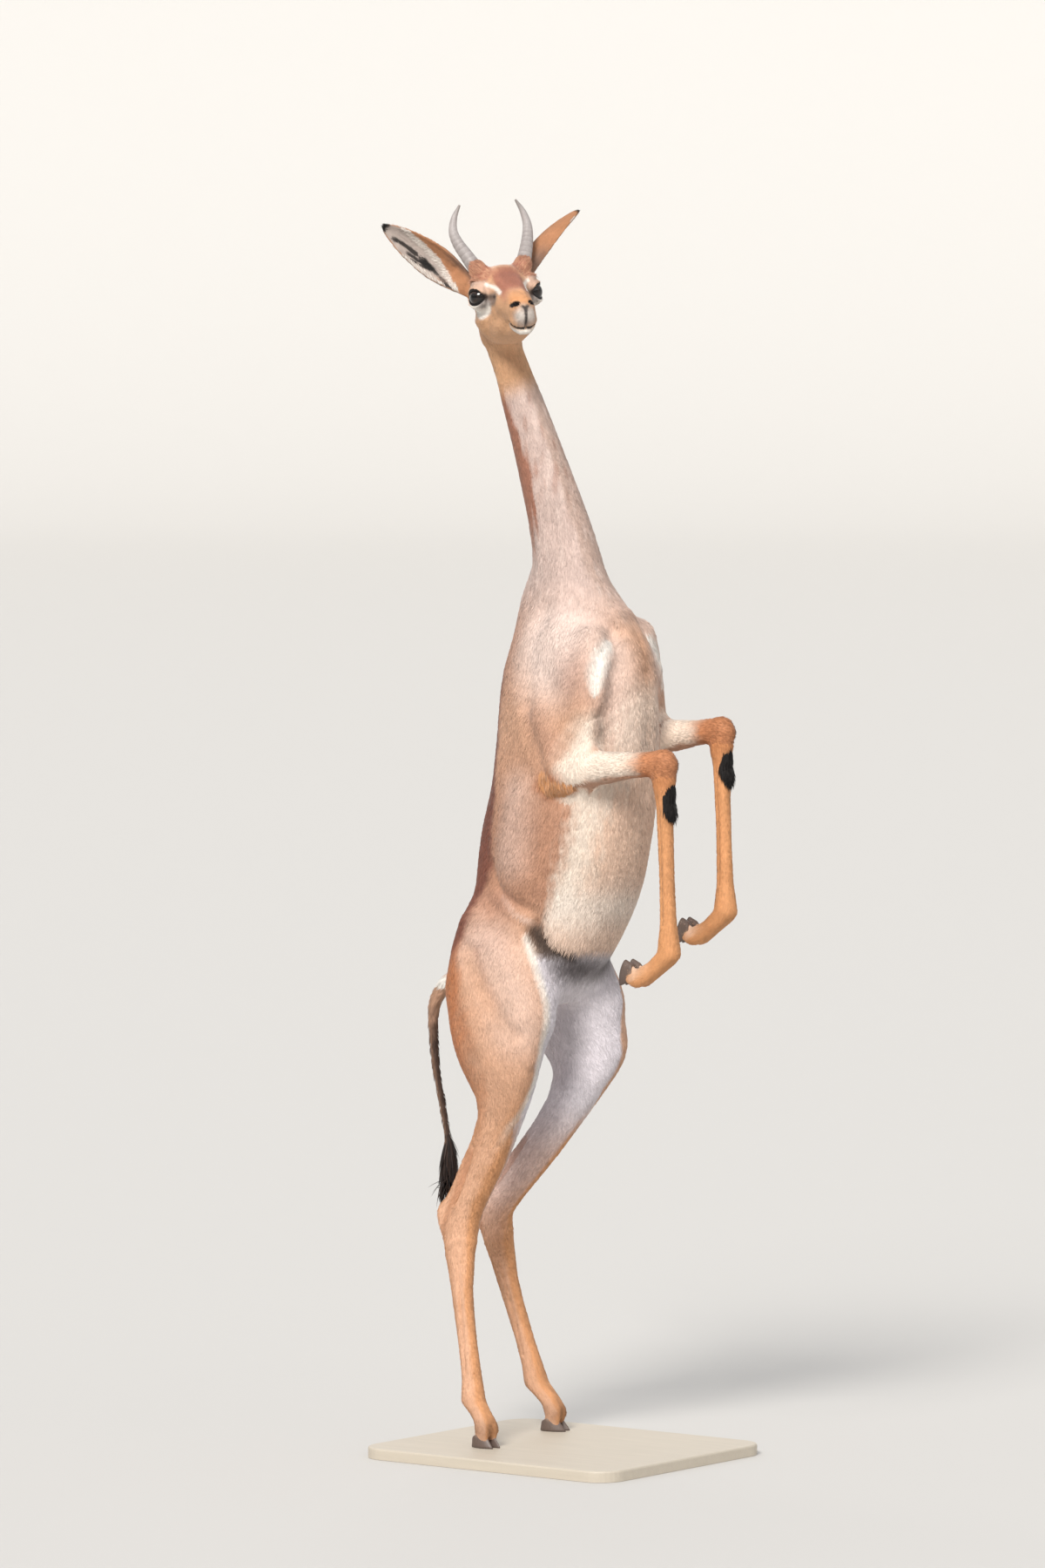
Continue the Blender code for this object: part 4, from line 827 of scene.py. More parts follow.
    def throat_and_nape(self, paint: Paint, site: Site, wave: Array, fine: Array) -> None:
        """Beige neck, rufous along its back and paler down the throat."""
        z = site.local[:, 2]
        neck = ramp(z, 1.30, 1.41) * ~site.lie.among("face", "ear")
        streaks = ripple(site.points * (1, 1, 0.18), 0.007, 11)
        facing = np.degrees(np.arctan2(np.abs(site.normals[:, 1]), site.normals[:, 0])) + 4 * wave
        paint.lay(self.neck, neck)
        paint.lay(self.throat, neck * ramp(facing, 50, 20) * 0.7)
        paint.lay(self.shoulder, neck * ramp(streaks, 0.15, 0.9) * 0.45)
        paint.lay(self.nape, neck * ramp(-streaks, 0.35, 1.0) * ramp(z, 1.45, 1.60) * 0.35)
        edge = np.interp(z, self.NAPE_HEIGHT, self.NAPE_FACING)
        rufous = ramp(facing + 9 * streaks, edge - 7, edge + 9)
        paint.lay(self.nape, neck * rufous * ramp(z, 1.37, 1.52) * 0.9)
        joint = np.linalg.norm(site.local - SKELETON.joint, axis=1)
        paint.lay(self.cheek, neck * ramp(joint, 0.080, 0.040))

    NAPE_HEIGHT = (1.40, 1.44, 1.49, 1.573, 1.656, 1.74, 1.80)
    NAPE_FACING = (165, 128, 100, 84, 88, 108, 118)

    def tail(self, paint: Paint, site: Site, wave: Array, fine: Array) -> None:
        """Tan tail that darkens to its black tuft."""
        z = site.local[:, 2]
        tail = site.lie.among("tail").astype(float)
        paint.lay(self.fawn * 0.8, tail)
        dark = ramp(z + 0.01 * fine, 0.72, 0.64) * (0.60 + 0.35 * ramp(site.normals[:, 0], -0.2, 0.5))
        paint.lay(self.dark_brown, tail * dark)
        paint.lay(self.black, tail * ramp(z + 0.01 * fine, 0.490, 0.460))

    def head(self, paint: Paint, site: Site, wave: Array, fine: Array) -> None:
        """The face: forehead patch, pale rings, dark gland patch, muzzle, lips and eye rims."""
        x, y = site.face[:, 0], site.face[:, 1]
        face = site.lie.among("face").astype(float)
        rough = 0.10 * fine

        def line(colour: Array, path: Path, reach: float, soft: float, share: float) -> None:
            """Lays a colour along a path of the face."""
            paint.lay(colour, face * site.face_near(path, reach, soft) * share)

        def patch(
            colour: Array, place: Row, size: Row, soft: float, share: float, edge: Array | float = 0.0
        ) -> None:
            """Lays a colour on an oval patch of the face."""
            paint.lay(colour, face * site.face_spot(place, size, soft, edge) * share)

        paint.lay(self.cheek, face)
        crown = face * ramp(site.normals @ HEAD.matrix()[:3, 2], -0.1, 0.4)
        paint.lay(self.shoulder, crown * ramp(x, 0.022, -0.004) * ramp(x, -0.080, -0.020) * 0.55)
        brow = crown * ramp(x + 0.004 * fine, 0.098, 0.062) * ramp(x, 0.004, 0.026)
        paint.lay(self.rufous * 1.12, brow * ramp(y, 0.026, 0.019) * 0.95)
        paint.lay(self.saddle, brow * ramp(y, 0.016, 0.008) * ramp(x, 0.080, 0.050) * 0.30)
        patch(self.rufous * 1.15, self.HORN_TUFT, (0.024, 0.020, 0.026), 0.25, 1.0, rough)
        paint.lay(self.orange, crown * ramp(x, 0.078, 0.096) * ramp(y, 0.022, 0.014) * 0.75)
        line(self.throat, self.BROW_PALE, 0.0105, 0.7, 0.75)
        line(self.white, self.BROW_WHITE, 0.0038, 0.5, 0.90)
        patch(self.white, self.UNDER_EYE, (0.028, 0.019, 0.0165), 0.15, 0.95, rough)
        line(self.grey, self.GLAND, 0.0110, 0.45, 0.80)
        line(self.dark_brown * 0.6, self.GLAND_DARK, 0.0028, 0.8, 0.45)
        for place, reach in self.GLAND_SPOTS:
            patch(self.dark_brown * 0.5, place, (reach, reach, reach), 0.4, 0.9)
        patch(self.muzzle, self.SNOUT, (0.018, 0.0160, 0.0150), 0.5, 0.95, 2 * rough)
        patch(self.white, self.SNOUT_SIDE, (0.008, 0.006, 0.009), 0.7, 0.5)
        patch(self.orange, self.SNOUT_TOP, (0.014, 0.010, 0.007), 0.25, 0.7)
        line(self.white, self.LIP, 0.0046, 0.5, 0.95)
        line(self.grey * 0.30, self.PHILTRUM, 0.0027, 0.4, 0.95)
        line(self.black, self.MOUTH, 0.0028, 0.3, 1.0)
        line(self.black, self.NOSTRIL, 0.0050, 0.20, 1.0)
        line(self.black, self.NOSTRIL_DEEP, 0.0058, 0.10, 1.0)
        paint.lay(self.black, face * ramp(np.linalg.norm(site.face - EYE.centre, axis=1), *self.EYE_RIM))

    EYE_RIM = (0.0192, 0.0180)
    HORN_TUFT = (0.001, 0.038, 0.044)
    BROW_PALE = (
        (-0.046, 0.045, 0.044), (-0.028, 0.047, 0.030), (-0.006, 0.050, 0.0215), (0.012, 0.047, 0.0205),
        (0.026, 0.036, 0.0120),
    )
    UNDER_EYE = (0.004, 0.044, -0.017)
    SNOUT = (0.117, 0.002, -0.055)
    SNOUT_SIDE = (0.118, 0.009, -0.054)
    SNOUT_TOP = (0.108, 0.013, -0.026)
    BROW_WHITE = ((0.022, 0.0340, 0.0180), (0.038, 0.0250, 0.0090), (0.058, 0.0218, -0.0045))
    GLAND = ((0.0190, 0.0430, -0.0080), (0.0290, 0.0340, -0.0090), (0.0390, 0.0285, -0.0090))
    GLAND_DARK = ((0.0190, 0.0410, -0.0010), (0.0300, 0.0315, -0.0040), (0.0405, 0.0275, -0.0090))
    GLAND_SPOTS = (((0.0215, 0.0400, -0.0020), 0.0062), ((0.0400, 0.0285, -0.0070), 0.0042))
    LIP = (
        (0.1030, 0.0, -0.0785), (0.0990, 0.0080, -0.0770), (0.0940, 0.0130, -0.0735),
        (0.0871, 0.0185, -0.0670), (0.0800, 0.0195, -0.0620),
    )
    PHILTRUM = (
        (0.1165, 0.0075, -0.0375), (0.1222, 0.0015, -0.0420), (0.1216, 0.0, -0.0470), (0.1195, 0.0, -0.0560),
        (0.1110, 0.0, -0.0650), (0.1080, 0.0, -0.0685),
    )
    MOUTH = (
        (0.1068, 0.0, -0.0718), (0.1042, 0.0050, -0.0715), (0.1010, 0.0115, -0.0693),
        (0.0990, 0.0168, -0.0660), (0.0942, 0.0215, -0.0602), (0.0860, 0.0215, -0.0568),
        (0.0760, 0.0205, -0.0542),
    )
    NOSTRIL_DEEP = ((0.1080, 0.0078, -0.0360), (0.1050, 0.0118, -0.0345), (0.1015, 0.0140, -0.0345))
    NOSTRIL = ((0.1150, 0.0085, -0.0350), (0.1115, 0.0135, -0.0330), (0.1075, 0.0165, -0.0335))

    def ears(self, paint: Paint, site: Site, wave: Array, fine: Array) -> None:
        """Orange-brown backs, pale linings with dark bare stripes, and dark tips and rims."""
        for side in Side:
            ear = site.lie.among(f"ear_{side.label}").astype(float)
            along, across, inward = EAR.read(side, site.own)
            lined = ramp(inward, -0.0008, 0.0016)
            fold = np.interp(along, self.FOLD_ALONG, self.FOLD_ACROSS) + 0.06 * fine
            inside = lined * ramp(across, fold + 0.08, fold - 0.04)
            paint.lay(self.ear_back, ear)
            paint.lay(self.grey * 0.7, ear * ramp(across, 0.25, 0.85) * ramp(along, 0.50, 0.20) * 0.70)
            paint.lay(self.ear_lining, ear * inside)
            scale = (SKELETON.ear_length, EAR.breadth)
            flat = np.column_stack([along, across]) * scale
            rim = np.maximum(hump(np.abs(across - fold), 0.16), ramp(across, -0.78, -0.95))
            rim = rim * ramp(along, 0.05, 0.15) * ramp(along, 0.93, 0.85)
            paint.lay(self.white, ear * lined * rim * 0.85)
            for path, reach in self.EAR_STRIPES:
                distance, place = to_path(flat, np.array(path) * scale)
                stripe = ramp(distance + 0.0008 * fine, reach * 1.25, reach * 0.7) * ramp(place, 1.0, 0.9)
                paint.lay(self.black, ear * lined * stripe * 0.92)
            paint.lay(self.black, ear * ramp(along + 0.01 * fine, 0.93, 0.965))

    FOLD_ALONG = (0.10, 0.16, 0.28, 0.42, 0.58, 0.76, 0.90)
    FOLD_ACROSS = (-0.70, -0.60, -0.25, 0.18, 0.42, 0.55, 0.80)
    EAR_STRIPES = (
        (((0.62, -0.30), (0.72, -0.24), (0.80, -0.26), (0.88, -0.30)), 0.0034),
        (((0.12, -0.78), (0.27, -0.66), (0.40, -0.50), (0.52, -0.36), (0.60, -0.28)), 0.0027),
        (((0.44, -0.48), (0.56, -0.34)), 0.0054),
        (((0.50, -0.52), (0.60, -0.54), (0.70, -0.52)), 0.0023),
        (((0.46, -0.60), (0.54, -0.72), (0.64, -0.74)), 0.0021),
    )


@dataclass(frozen=True)
class Eye:
    """An eyeball in the head's frame: forward is the angle that it looks forward from the side.

    iris and pupil are shares of its radius, the pupil's along the lids and up.
    """

    centre: Row = (0.003, 0.0425, 0.001)
    radius: float = 0.0168
    forward: float = math.radians(30)
    iris: float = 0.66
    pupil: tuple[float, float] = (0.52, 0.30)
    bulge: float = 0.035
    bulge_angle: float = 0.75
    pole: float = 0.01
    tilt: Row = (0.12, 0.0, 1.0)
    rings: int = 40
    sides: int = 64

    def build(self, side: Side) -> bpy.types.Object:
        """Makes the eyeball of one side, with its pole where the eye looks."""
        name = side.label
        place, look, level, up = self.look(side)
        polar = np.linspace(0.0, math.pi, self.rings + 1)
        polar[0], polar[-1] = self.pole, math.pi - self.pole
        bulge = 1 + self.bulge * hump(polar, self.bulge_angle)
        centres = np.outer(-self.radius * bulge * np.cos(polar), -look)
        sizes = self.radius * bulge * np.sin(polar)
        points, triangles = tube(centres[::-1], level, sizes[::-1], sizes[::-1], self.sides)
        out = unit(points)
        obj = solid(f"eyeball_{name}", HEAD.placed(points + place), triangles)
        wide, high = out @ level, out @ up
        away = np.hypot(wide, high)
        front = out @ look > 0
        colours = np.tile(linear(44, 29, 20), (len(points), 1))
        colours = mix(colours, linear(20, 13, 10), ramp(away, 0.50, self.iris))
        pupil = np.hypot(wide / self.pupil[0], high / self.pupil[1])
        colours = mix(colours, linear(5, 4, 5), ramp(pupil, 1.1, 0.85))
        colours = mix(colours, linear(70, 52, 44), ramp(away, 0.86, 0.95) * front)
        tint(obj, colours)
        EYE_FINISH.dress(obj)
        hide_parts(f"eye_{name}")
        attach(obj, BODY)
        return obj

    def look(self, side: Side) -> tuple[Array, Array, Array, Array]:
        """The eyeball's middle and its ways out, forward along the lids and up, in the head's frame."""
        out = unit(np.array((math.sin(self.forward), side.value * math.cos(self.forward), 0.0)))
        up = unit(np.array(self.tilt) - out * np.dot(self.tilt, out))
        forward = np.cross(up, out) * (1 if side is Side.RIGHT else -1)
        return np.array(self.centre) * (1, side.value, 1), out, forward, up


EYE = Eye()


@dataclass(frozen=True)
class Lids:
    """Both lids of an eye as one ring with an almond opening, black along the edge.

    Each row of profile is a share of the way out from the edge and a height over the eyeball, and
    bare says how black the lid is there.
    """

    half_opening: float = math.radians(65)
    upper: float = math.radians(35)
    lower: float = math.radians(40)
    outer: float = math.radians(94)
    slant: float = math.radians(5)
    almond: float = 0.9
    pinch: float = 0.18
    gap: float = 1.02
    brow: float = 0.35
    under_coat: float = 0.0035
    sides: int = 96
    profile: tuple[tuple[float, float], ...] = (
        (0.00, 0.0001), (0.00, 0.0010), (0.03, 0.0017), (0.07, 0.0022), (0.12, 0.0023), (0.20, 0.0021),
        (0.40, 0.0012), (0.70, 0.0006), (1.00, 0.0000), (1.00, -0.0034), (0.50, -0.0026), (0.10, -0.0018),
    )
    bare: Row = (1.0, 1.0, 1.0, 1.0, 0.85, 0.6, 0.4, 0.0, 0.0, 0.0, 0.0, 1.0)

    def opening(self, turn: Array) -> tuple[Array, Array]:
        """The opening's edge: its angles from the eye's pole and its bearings round it."""
        wide = self.half_opening * np.sign(np.cos(turn)) * np.abs(np.cos(turn)) ** self.almond
        half = np.where(np.sin(turn) > 0, self.upper, self.lower)
        high = half * np.sin(turn) * (1 - self.pinch * np.cos(turn) ** 2) - self.slant * np.cos(turn)
        return np.hypot(wide, high), np.arctan2(high, wide)

    def edge(self, bearing: Array) -> Array:
        """The angle from the eye's pole to the opening's edge at some bearings."""
        edge, at = self.opening(np.linspace(0, 2 * math.pi, 4 * self.sides, endpoint=False))
        return np.interp(bearing, at, edge, period=2 * math.pi)

    def build(self, side: Side) -> bpy.types.Object:
        """Makes the lids of one side."""
        middle, out, forward, up = EYE.look(side)
        turn = np.arange(self.sides) * 2 * math.pi / self.sides
        edge, bearing = self.opening(turn)
        rings = []
        for share, raised in self.profile:
            polar = edge + (self.outer - edge) * share
            brow = 1 + self.brow * np.clip(np.sin(turn), 0, 1)
            radius = EYE.radius * self.gap + raised * (brow if raised > 0.001 else 1)
            level = np.cos(bearing)[:, None] * forward + np.sin(bearing)[:, None] * up
            spoke = np.cos(polar)[:, None] * out + np.sin(polar)[:, None] * level
            rings.append(middle + spoke * np.asarray(radius).reshape(-1, 1))
        points = HEAD.placed(np.vstack(rings))
        faces = joined(len(rings) + 1, self.sides) % len(points)
        if side is Side.LEFT:
            faces = faces[:, ::-1]
        normals = normals_of(points, faces)
        obj = solid(f"lids_{side.label}", points, faces)
        coat = MARKINGS.at(Site(points + normals * self.under_coat, normals))
        tint(obj, mix(coat, linear(24, 19, 18), np.repeat(self.bare, self.sides)))
        LID_FINISH.dress(obj)
        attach(obj, BODY)
        return obj


@dataclass(frozen=True)
class Ear:
    """The cup of an ear, as the solids have it: place along it, half its width and its depth."""

    breadth: float = 0.027
    bow: float = 0.010
    place: Row = (0.00, 0.10, 0.25, 0.42, 0.60, 0.78, 0.92, 1.00)
    half_width: Row = (0.0125, 0.0155, 0.0225, 0.0270, 0.0250, 0.0190, 0.0105, 0.0030)
    cup: Row = (0.0180, 0.0200, 0.0185, 0.0160, 0.0130, 0.0090, 0.0050, 0.0018)

    def frame(self, side: Side) -> tuple[Array, Array, Array, Array]:
        """An ear's root and its ways towards the tip, towards its upper edge and out of its opening."""
        root, way, opening = (np.array(row) for row in SKELETON.ears[side])
        way = unit(way)
        opening = unit(opening - way * (opening @ way))
        return root, way, np.cross(way, opening) * -side.value, opening

    def read(self, side: Side, own: Array) -> tuple[Array, Array, Array]:
        """Where points of the head's frame lie on an ear.

        Args:
            side: which ear.
            own: the points.

        Returns:
            The share of the way to its tip, the place between its lower edge (-1) and its upper
            edge (1), and how far towards the opening from the middle of its wall.
        """
        root, way, across, opening = self.frame(side)
        spoke = own - root
        along = np.clip((spoke @ way) / SKELETON.ear_length, 0, 1)
        over = spoke @ across
        width = np.interp(along, self.place, self.half_width)
        hollow = np.interp(along, self.place, self.cup) * np.clip(1 - (over / width) ** 2, 0, 1)
        return along, over / self.breadth, spoke @ opening + self.bow * np.sin(math.pi * along) + hollow


LIDS = Lids()
EAR = Ear()
MARKINGS = Markings()


# ---------------------------------------------------------------------------------------------
# The skin


@dataclass(frozen=True)
class Zoom:
    """A smooth magnifying of the space round the head, so that one mesh is finer there.

    It magnifies by power within core, and fades out over fade beyond it.
    """

    centre: Array
    power: float = 2.0
    core: float = 0.17
    fade: float = 0.20
    extent: float = 3.0
    rows: int = 3001

    def table(self) -> tuple[Array, Array]:
        """Distances from the centre before and after."""
        plain = np.linspace(0.0, self.extent, self.rows)
        slope = 1 + (self.power - 1) * ramp(plain, self.core + self.fade, self.core)
        return plain, np.concatenate([[0.0], np.cumsum((slope[1:] + slope[:-1]) / 2 * np.diff(plain))])

    def moved(self, points: Array, back: bool = False) -> Array:
        """Points taken through the magnifying, or back out of it."""
        plain, zoomed = self.table()
        if back:
            plain, zoomed = zoomed, plain
        spoke = points - self.centre
        distance = np.maximum(np.linalg.norm(spoke, axis=1), 1e-9)
        return self.centre + spoke * (np.interp(distance, plain, zoomed) / distance)[:, None]


@dataclass(frozen=True)
class Socket:
    """The rounded rim of skin over an eye's lids, and the hollow that the eyeball sits in."""

    reach: float = 0.0300
    depth: float = 0.0140
    rim: float = 0.0202
    brow: float = 0.0004
    edge: tuple[float, float] = (math.radians(8.5), math.radians(2.5))
    fade: tuple[float, float] = (math.radians(125), math.radians(88))
    blend: float = 0.0030
    core: float = 0.004
    least: float = 0.55
    full: float = 0.8

    def press(self, points: Array) -> None:
        """Raises the skin's points near the eyes to the rim, and presses those in the opening in."""
        own = HEAD.own(points)
        for side in Side:
            middle, out, forward, up = EYE.look(side)
            spoke = own - middle
            distance = np.linalg.norm(spoke, axis=1)
            near = (distance < self.reach) & (distance > self.core)
            way, far = unit(spoke[near]), distance[near]
            polar = np.arccos(np.clip(way @ out, -1, 1))
            bearing = np.arctan2(way @ up, way @ forward)
            target = self.rim + self.brow * np.clip(np.sin(bearing), 0, 1)
            target = target * (self.least + (1 - self.least) * ramp(polar, *self.fade))
            raised = (far + target + np.sqrt((far - target) ** 2 + self.blend**2)) / 2
            raised = far + (raised - far) * ramp(far, self.reach, self.full * self.reach)
            inside = ramp(polar - LIDS.edge(bearing), *self.edge)
            own[near] = middle + way * mix(raised[:, None], np.array([self.depth]), inside)
        points[:] = HEAD.placed(own)


@dataclass(frozen=True)
class Stroke:
    """A line pressed into the skin, or raised from it where height is above 0."""

    path: Path | Array
    reach: float
    height: float
    both: bool = True
    steps: int = 6

    def apply(self, own: Array) -> Array:
        """How far each point, given in the stroke's own frame, moves along its normal."""
        total = np.zeros(len(own))
        for sign in (1, -1) if self.both else (1,):
            path = np.array(self.path) * np.array((1, sign, 1))
            near = np.all((own > path.min(0) - self.reach) & (own < path.max(0) + self.reach), axis=1)
            distance, _ = to_path(own[near], curve(path, self.steps))
            change = self.height * hump(distance, self.reach)
            total[near] = np.where(np.abs(change) > np.abs(total[near]), change, total[near])
        return total


FACE_STROKES = (
    Stroke(Markings.MOUTH, 0.0038, -0.0024),
    Stroke(Markings.LIP, 0.0060, 0.0012),
    Stroke(Markings.PHILTRUM, 0.0030, -0.0016),
    Stroke(Markings.NOSTRIL, 0.0052, -0.0070),
    Stroke(((0.1150, 0.0070, -0.0290), (0.1080, 0.0150, -0.0270)), 0.0060, 0.0014),
    Stroke(Markings.GLAND, 0.0080, -0.0020),
    Stroke(((-0.022, 0.042, 0.0240), (0.002, 0.049, 0.0245), (0.022, 0.041, 0.0170)), 0.0090, 0.0022),
    Stroke(((0.030, 0.030, -0.030), (-0.005, 0.040, -0.034), (-0.045, 0.040, -0.030)), 0.0130, 0.0022),
    Stroke(((0.060, 0.022, -0.040), (-0.030, 0.030, -0.058)), 0.0140, -0.0016),
    Stroke(((-0.010, 0.040, 0.052), (0.006, 0.033, 0.046)), 0.0170, 0.0030),
    Stroke(((0.035, 0.014, 0.020), (0.085, 0.010, -0.010)), 0.0100, 0.0012),
)
BODY_STROKES = (
    Stroke(((0.212, 0.036, 1.320), (0.219, 0.076, 1.288), (0.218, 0.094, 1.250), (0.222, 0.088, 1.190)),
           0.026, -0.0070),
    Stroke(((0.186, 0.080, 1.322), (0.197, 0.108, 1.262), (0.196, 0.120, 1.200)), 0.034, 0.0045),
    Stroke(((0.210, 0.012, 1.345), (0.234, 0.022, 1.290), (0.242, 0.034, 1.240)), 0.028, 0.0035),
    Stroke(((0.252, 0.0, 1.250), (0.258, 0.0, 1.160), (0.250, 0.0, 1.060)), 0.022, -0.0030),
    Stroke(((0.128, 0.060, 1.372), (0.136, 0.085, 1.310), (0.150, 0.100, 1.250)), 0.040, 0.0040),
    Stroke(((0.092, 0.070, 1.350), (0.078, 0.085, 1.280), (0.085, 0.100, 1.205)), 0.030, -0.0045),
    Stroke(((0.085, 0.104, 1.195), (0.108, 0.114, 1.140), (0.140, 0.122, 1.092)), 0.026, -0.0050),
    Stroke(((0.120, 0.112, 1.190), (0.150, 0.120, 1.135)), 0.028, 0.0030),
    Stroke(((0.168, 0.100, 1.068), (0.200, 0.106, 1.068)), 0.018, -0.0040),
    Stroke(((0.095, 0.108, 1.050), (0.060, 0.100, 0.985), (0.075, 0.100, 0.920)), 0.052, 0.0055),
    Stroke(((0.150, 0.104, 1.020), (0.130, 0.102, 0.950)), 0.036, 0.0030),
    Stroke(((0.004, 0.080, 0.940), (0.018, 0.089, 0.911), (0.035, 0.094, 0.894), (0.060, 0.098, 0.880),
            (0.088, 0.097, 0.870), (0.108, 0.090, 0.858)), 0.022, -0.0046),
    Stroke(((0.100, 0.090, 0.850), (0.112, 0.078, 0.812), (0.130, 0.060, 0.798), (0.140, 0.0, 0.790)),
           0.016, -0.0060),
    Stroke(Markings.THIGH_GROOVE, 0.024, -0.0040),
    Stroke(((0.020, 0.114, 0.815), (0.062, 0.122, 0.765), (0.092, 0.120, 0.705)), 0.034, 0.0040),
    Stroke(((-0.030, 0.112, 0.780), (-0.010, 0.128, 0.715), (0.020, 0.130, 0.660)), 0.034, 0.0030),
    Stroke(((-0.045, 0.100, 0.850), (0.010, 0.105, 0.850)), 0.030, 0.0030),
    Stroke(((0.085, 0.118, 0.655), (0.098, 0.110, 0.630)), 0.018, 0.0028),
    Stroke(((0.030, 0.078, 1.700), (0.066, 0.064, 1.600), (0.098, 0.062, 1.500), (0.122, 0.062, 1.420)),
           0.020, -0.0018),
    Stroke(((0.060, 0.060, 1.700), (0.098, 0.048, 1.600), (0.135, 0.045, 1.500), (0.160, 0.045, 1.420)),
           0.020, 0.0016),
)


def leg_strokes() -> list[Stroke]:
    """The grooves between bone and tendon on both faces of each cannon, and the strings of each hock."""
    made = []
    for side in Side:
        hind, fore = (np.array(path) for path in (SKELETON.hind[side], SKELETON.fore[side]))
        for face in (-1, 1):
            for top, bottom, aside in ((hind[2], hind[3], 0.0135), (fore[1], fore[2], 0.0112)):
                groove = stretch(top, bottom, (0.16, 0.5, 0.84), (-0.0045, face * aside, 0.0))
                made.append(Stroke(groove, 0.0065, -0.0022, both=False))
            string = stretch(hind[2], hind[1], (0.10, 0.28, 0.46), (-0.014, face * 0.0125, 0.0))
            made.append(Stroke(string, 0.0090, -0.0042, both=False))
    return made


@dataclass
class Skin:
    """One skin over all the flesh, made from the solids and softened, finest on the head."""

    voxel: float = 0.0027
    swell: float = 0.0004
    rounds: int = 30
    melted: tuple[float, float] = (0.088, 0.050)
    melt_rounds: int = 170
    triangles: int = 188_000
    inset: float = 0.0017
    sharing_rounds: int = 6

    # The share of the smoothing, and the depth of coat, that the finer stretches of the body have.
    EASED = (
        (("forearm", "shank"), 0.65), (("fore_", "hind_", "tail"), 0.35), (("face",), 0.32), (("ear",), 0.18),
    )
    THINNER = ((("face", "ear"), 0.0007), (("fore_", "hind_"), 0.0011))

    def build(self) -> bpy.types.Object:
        """Makes the skin and paints it."""
        zoom = Zoom(HEAD.placed((0.0, 0.0, 0.0)))
        flesh = [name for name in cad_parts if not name.startswith("stand_")]
        points, triangles, start = [], [], 0
        for name in flesh:
            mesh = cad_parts[name].data
            own, faces = points_of(mesh), triangles_of(mesh)
            points.append(own + self.swell * normals_of(own, faces))
            triangles.append(faces + start)
            start += len(own)
        skin = solid("skin", zoom.moved(np.vstack(points)), np.vstack(triangles))
        remesh = skin.modifiers.new("Whole", "REMESH")
        remesh.mode = "VOXEL"
        remesh.voxel_size = self.voxel
        settled(skin)
        move(skin.data, zoom.moved(points_of(skin.data), back=True))
        self.relax(skin.data)
        self.sculpt(skin.data)
        thin = skin.modifiers.new("Thin", "DECIMATE")
        thin.ratio = self.triangles / len(triangles_of(skin.data))
        settled(skin)
        self.largest(skin)
        points = points_of(skin.data)
        tint(skin, MARKINGS.at(Site(points, normals_of(points, triangles_of(skin.data)))))
        skin.data.polygons.foreach_set("use_smooth", np.ones(len(skin.data.polygons), bool))
        SKIN_FINISH.dress(skin)
        shown = ("eye_", "horn_", "hoof_", "stand_")
        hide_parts(*[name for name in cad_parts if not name.startswith(shown)])
        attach(skin, BODY)
        return skin

    @staticmethod
    def largest(skin: bpy.types.Object) -> None:
        """Keeps only the skin's largest closed surface."""
        points, faces = points_of(skin.data), triangles_of(skin.data)
        label = np.arange(len(points))
        while True:
            least = label[faces].min(axis=1)
            new = label.copy()
            for corner in range(3):
                np.minimum.at(new, faces[:, corner], least)
            new = new[new]
            if np.array_equal(new, label):
                break
            label = new
        counts = np.bincount(label)
        keep = label == counts.argmax()
        if keep.all():
            return
        number = np.cumsum(keep) - 1
        old = skin.data
        whole = solid("whole", points[keep], number[faces[keep[faces].all(axis=1)]])
        skin.data = whole.data
        bpy.data.objects.remove(whole)
        bpy.data.meshes.remove(old)
        log.info("dropped %d loose points inside the skin", int((~keep).sum()))

    def relax(self, mesh: bpy.types.Mesh) -> None:
        """Smooths away the facets of the solids, least on head, ears and feet."""
        ends = np.empty(len(mesh.edges) * 2, np.int32)
        mesh.edges.foreach_get("vertices", ends)
        first, second = ends.reshape(-1, 2).T
        points = points_of(mesh)
        lie = Lie.at(points)
        share = np.full(len(points), 1.0)
        for names, eased in self.EASED:
            share[lie.among(*names)] = eased
        count = np.bincount(ends, minlength=len(points))
        for _ in range(self.sharing_rounds):
            share = 0.5 * share + 0.5 * self.around(share, first, second, count)
        for _ in range(self.rounds):
            points += 0.5 * share[:, None] * self.pull(points, first, second, count)
        self.melt(points, first, second)
        move(mesh, points)

    def melt(self, points: Array, first: Array, second: Array) -> None:
        """Melts head and neck together, where the solids leave a step."""
        distance = np.linalg.norm(points - STANCE - SKELETON.joint, axis=1)
        near = distance < self.melted[0]
        kept = near[first] & near[second]
        number = np.cumsum(near) - 1
        first, second = number[first[kept]], number[second[kept]]
        own, share = points[near], ramp(distance[near], *self.melted)[:, None]
        count = np.maximum(np.bincount(np.concatenate([first, second]), minlength=len(own)), 1)
        for _ in range(self.melt_rounds):
            own += 0.5 * share * self.pull(own, first, second, count)
        points[near] = own

    def pull(self, points: Array, first: Array, second: Array, count: Array) -> Array:
        """The way from each point to the middle of its neighbours."""
        return np.column_stack([self.around(row, first, second, count) for row in points.T]) - points

    @staticmethod
    def around(values: Array, first: Array, second: Array, count: Array) -> Array:
        """The mean of a value over the neighbours of each point."""
        size = len(values)
        return (np.bincount(first, values[second], size) + np.bincount(second, values[first], size)) / count

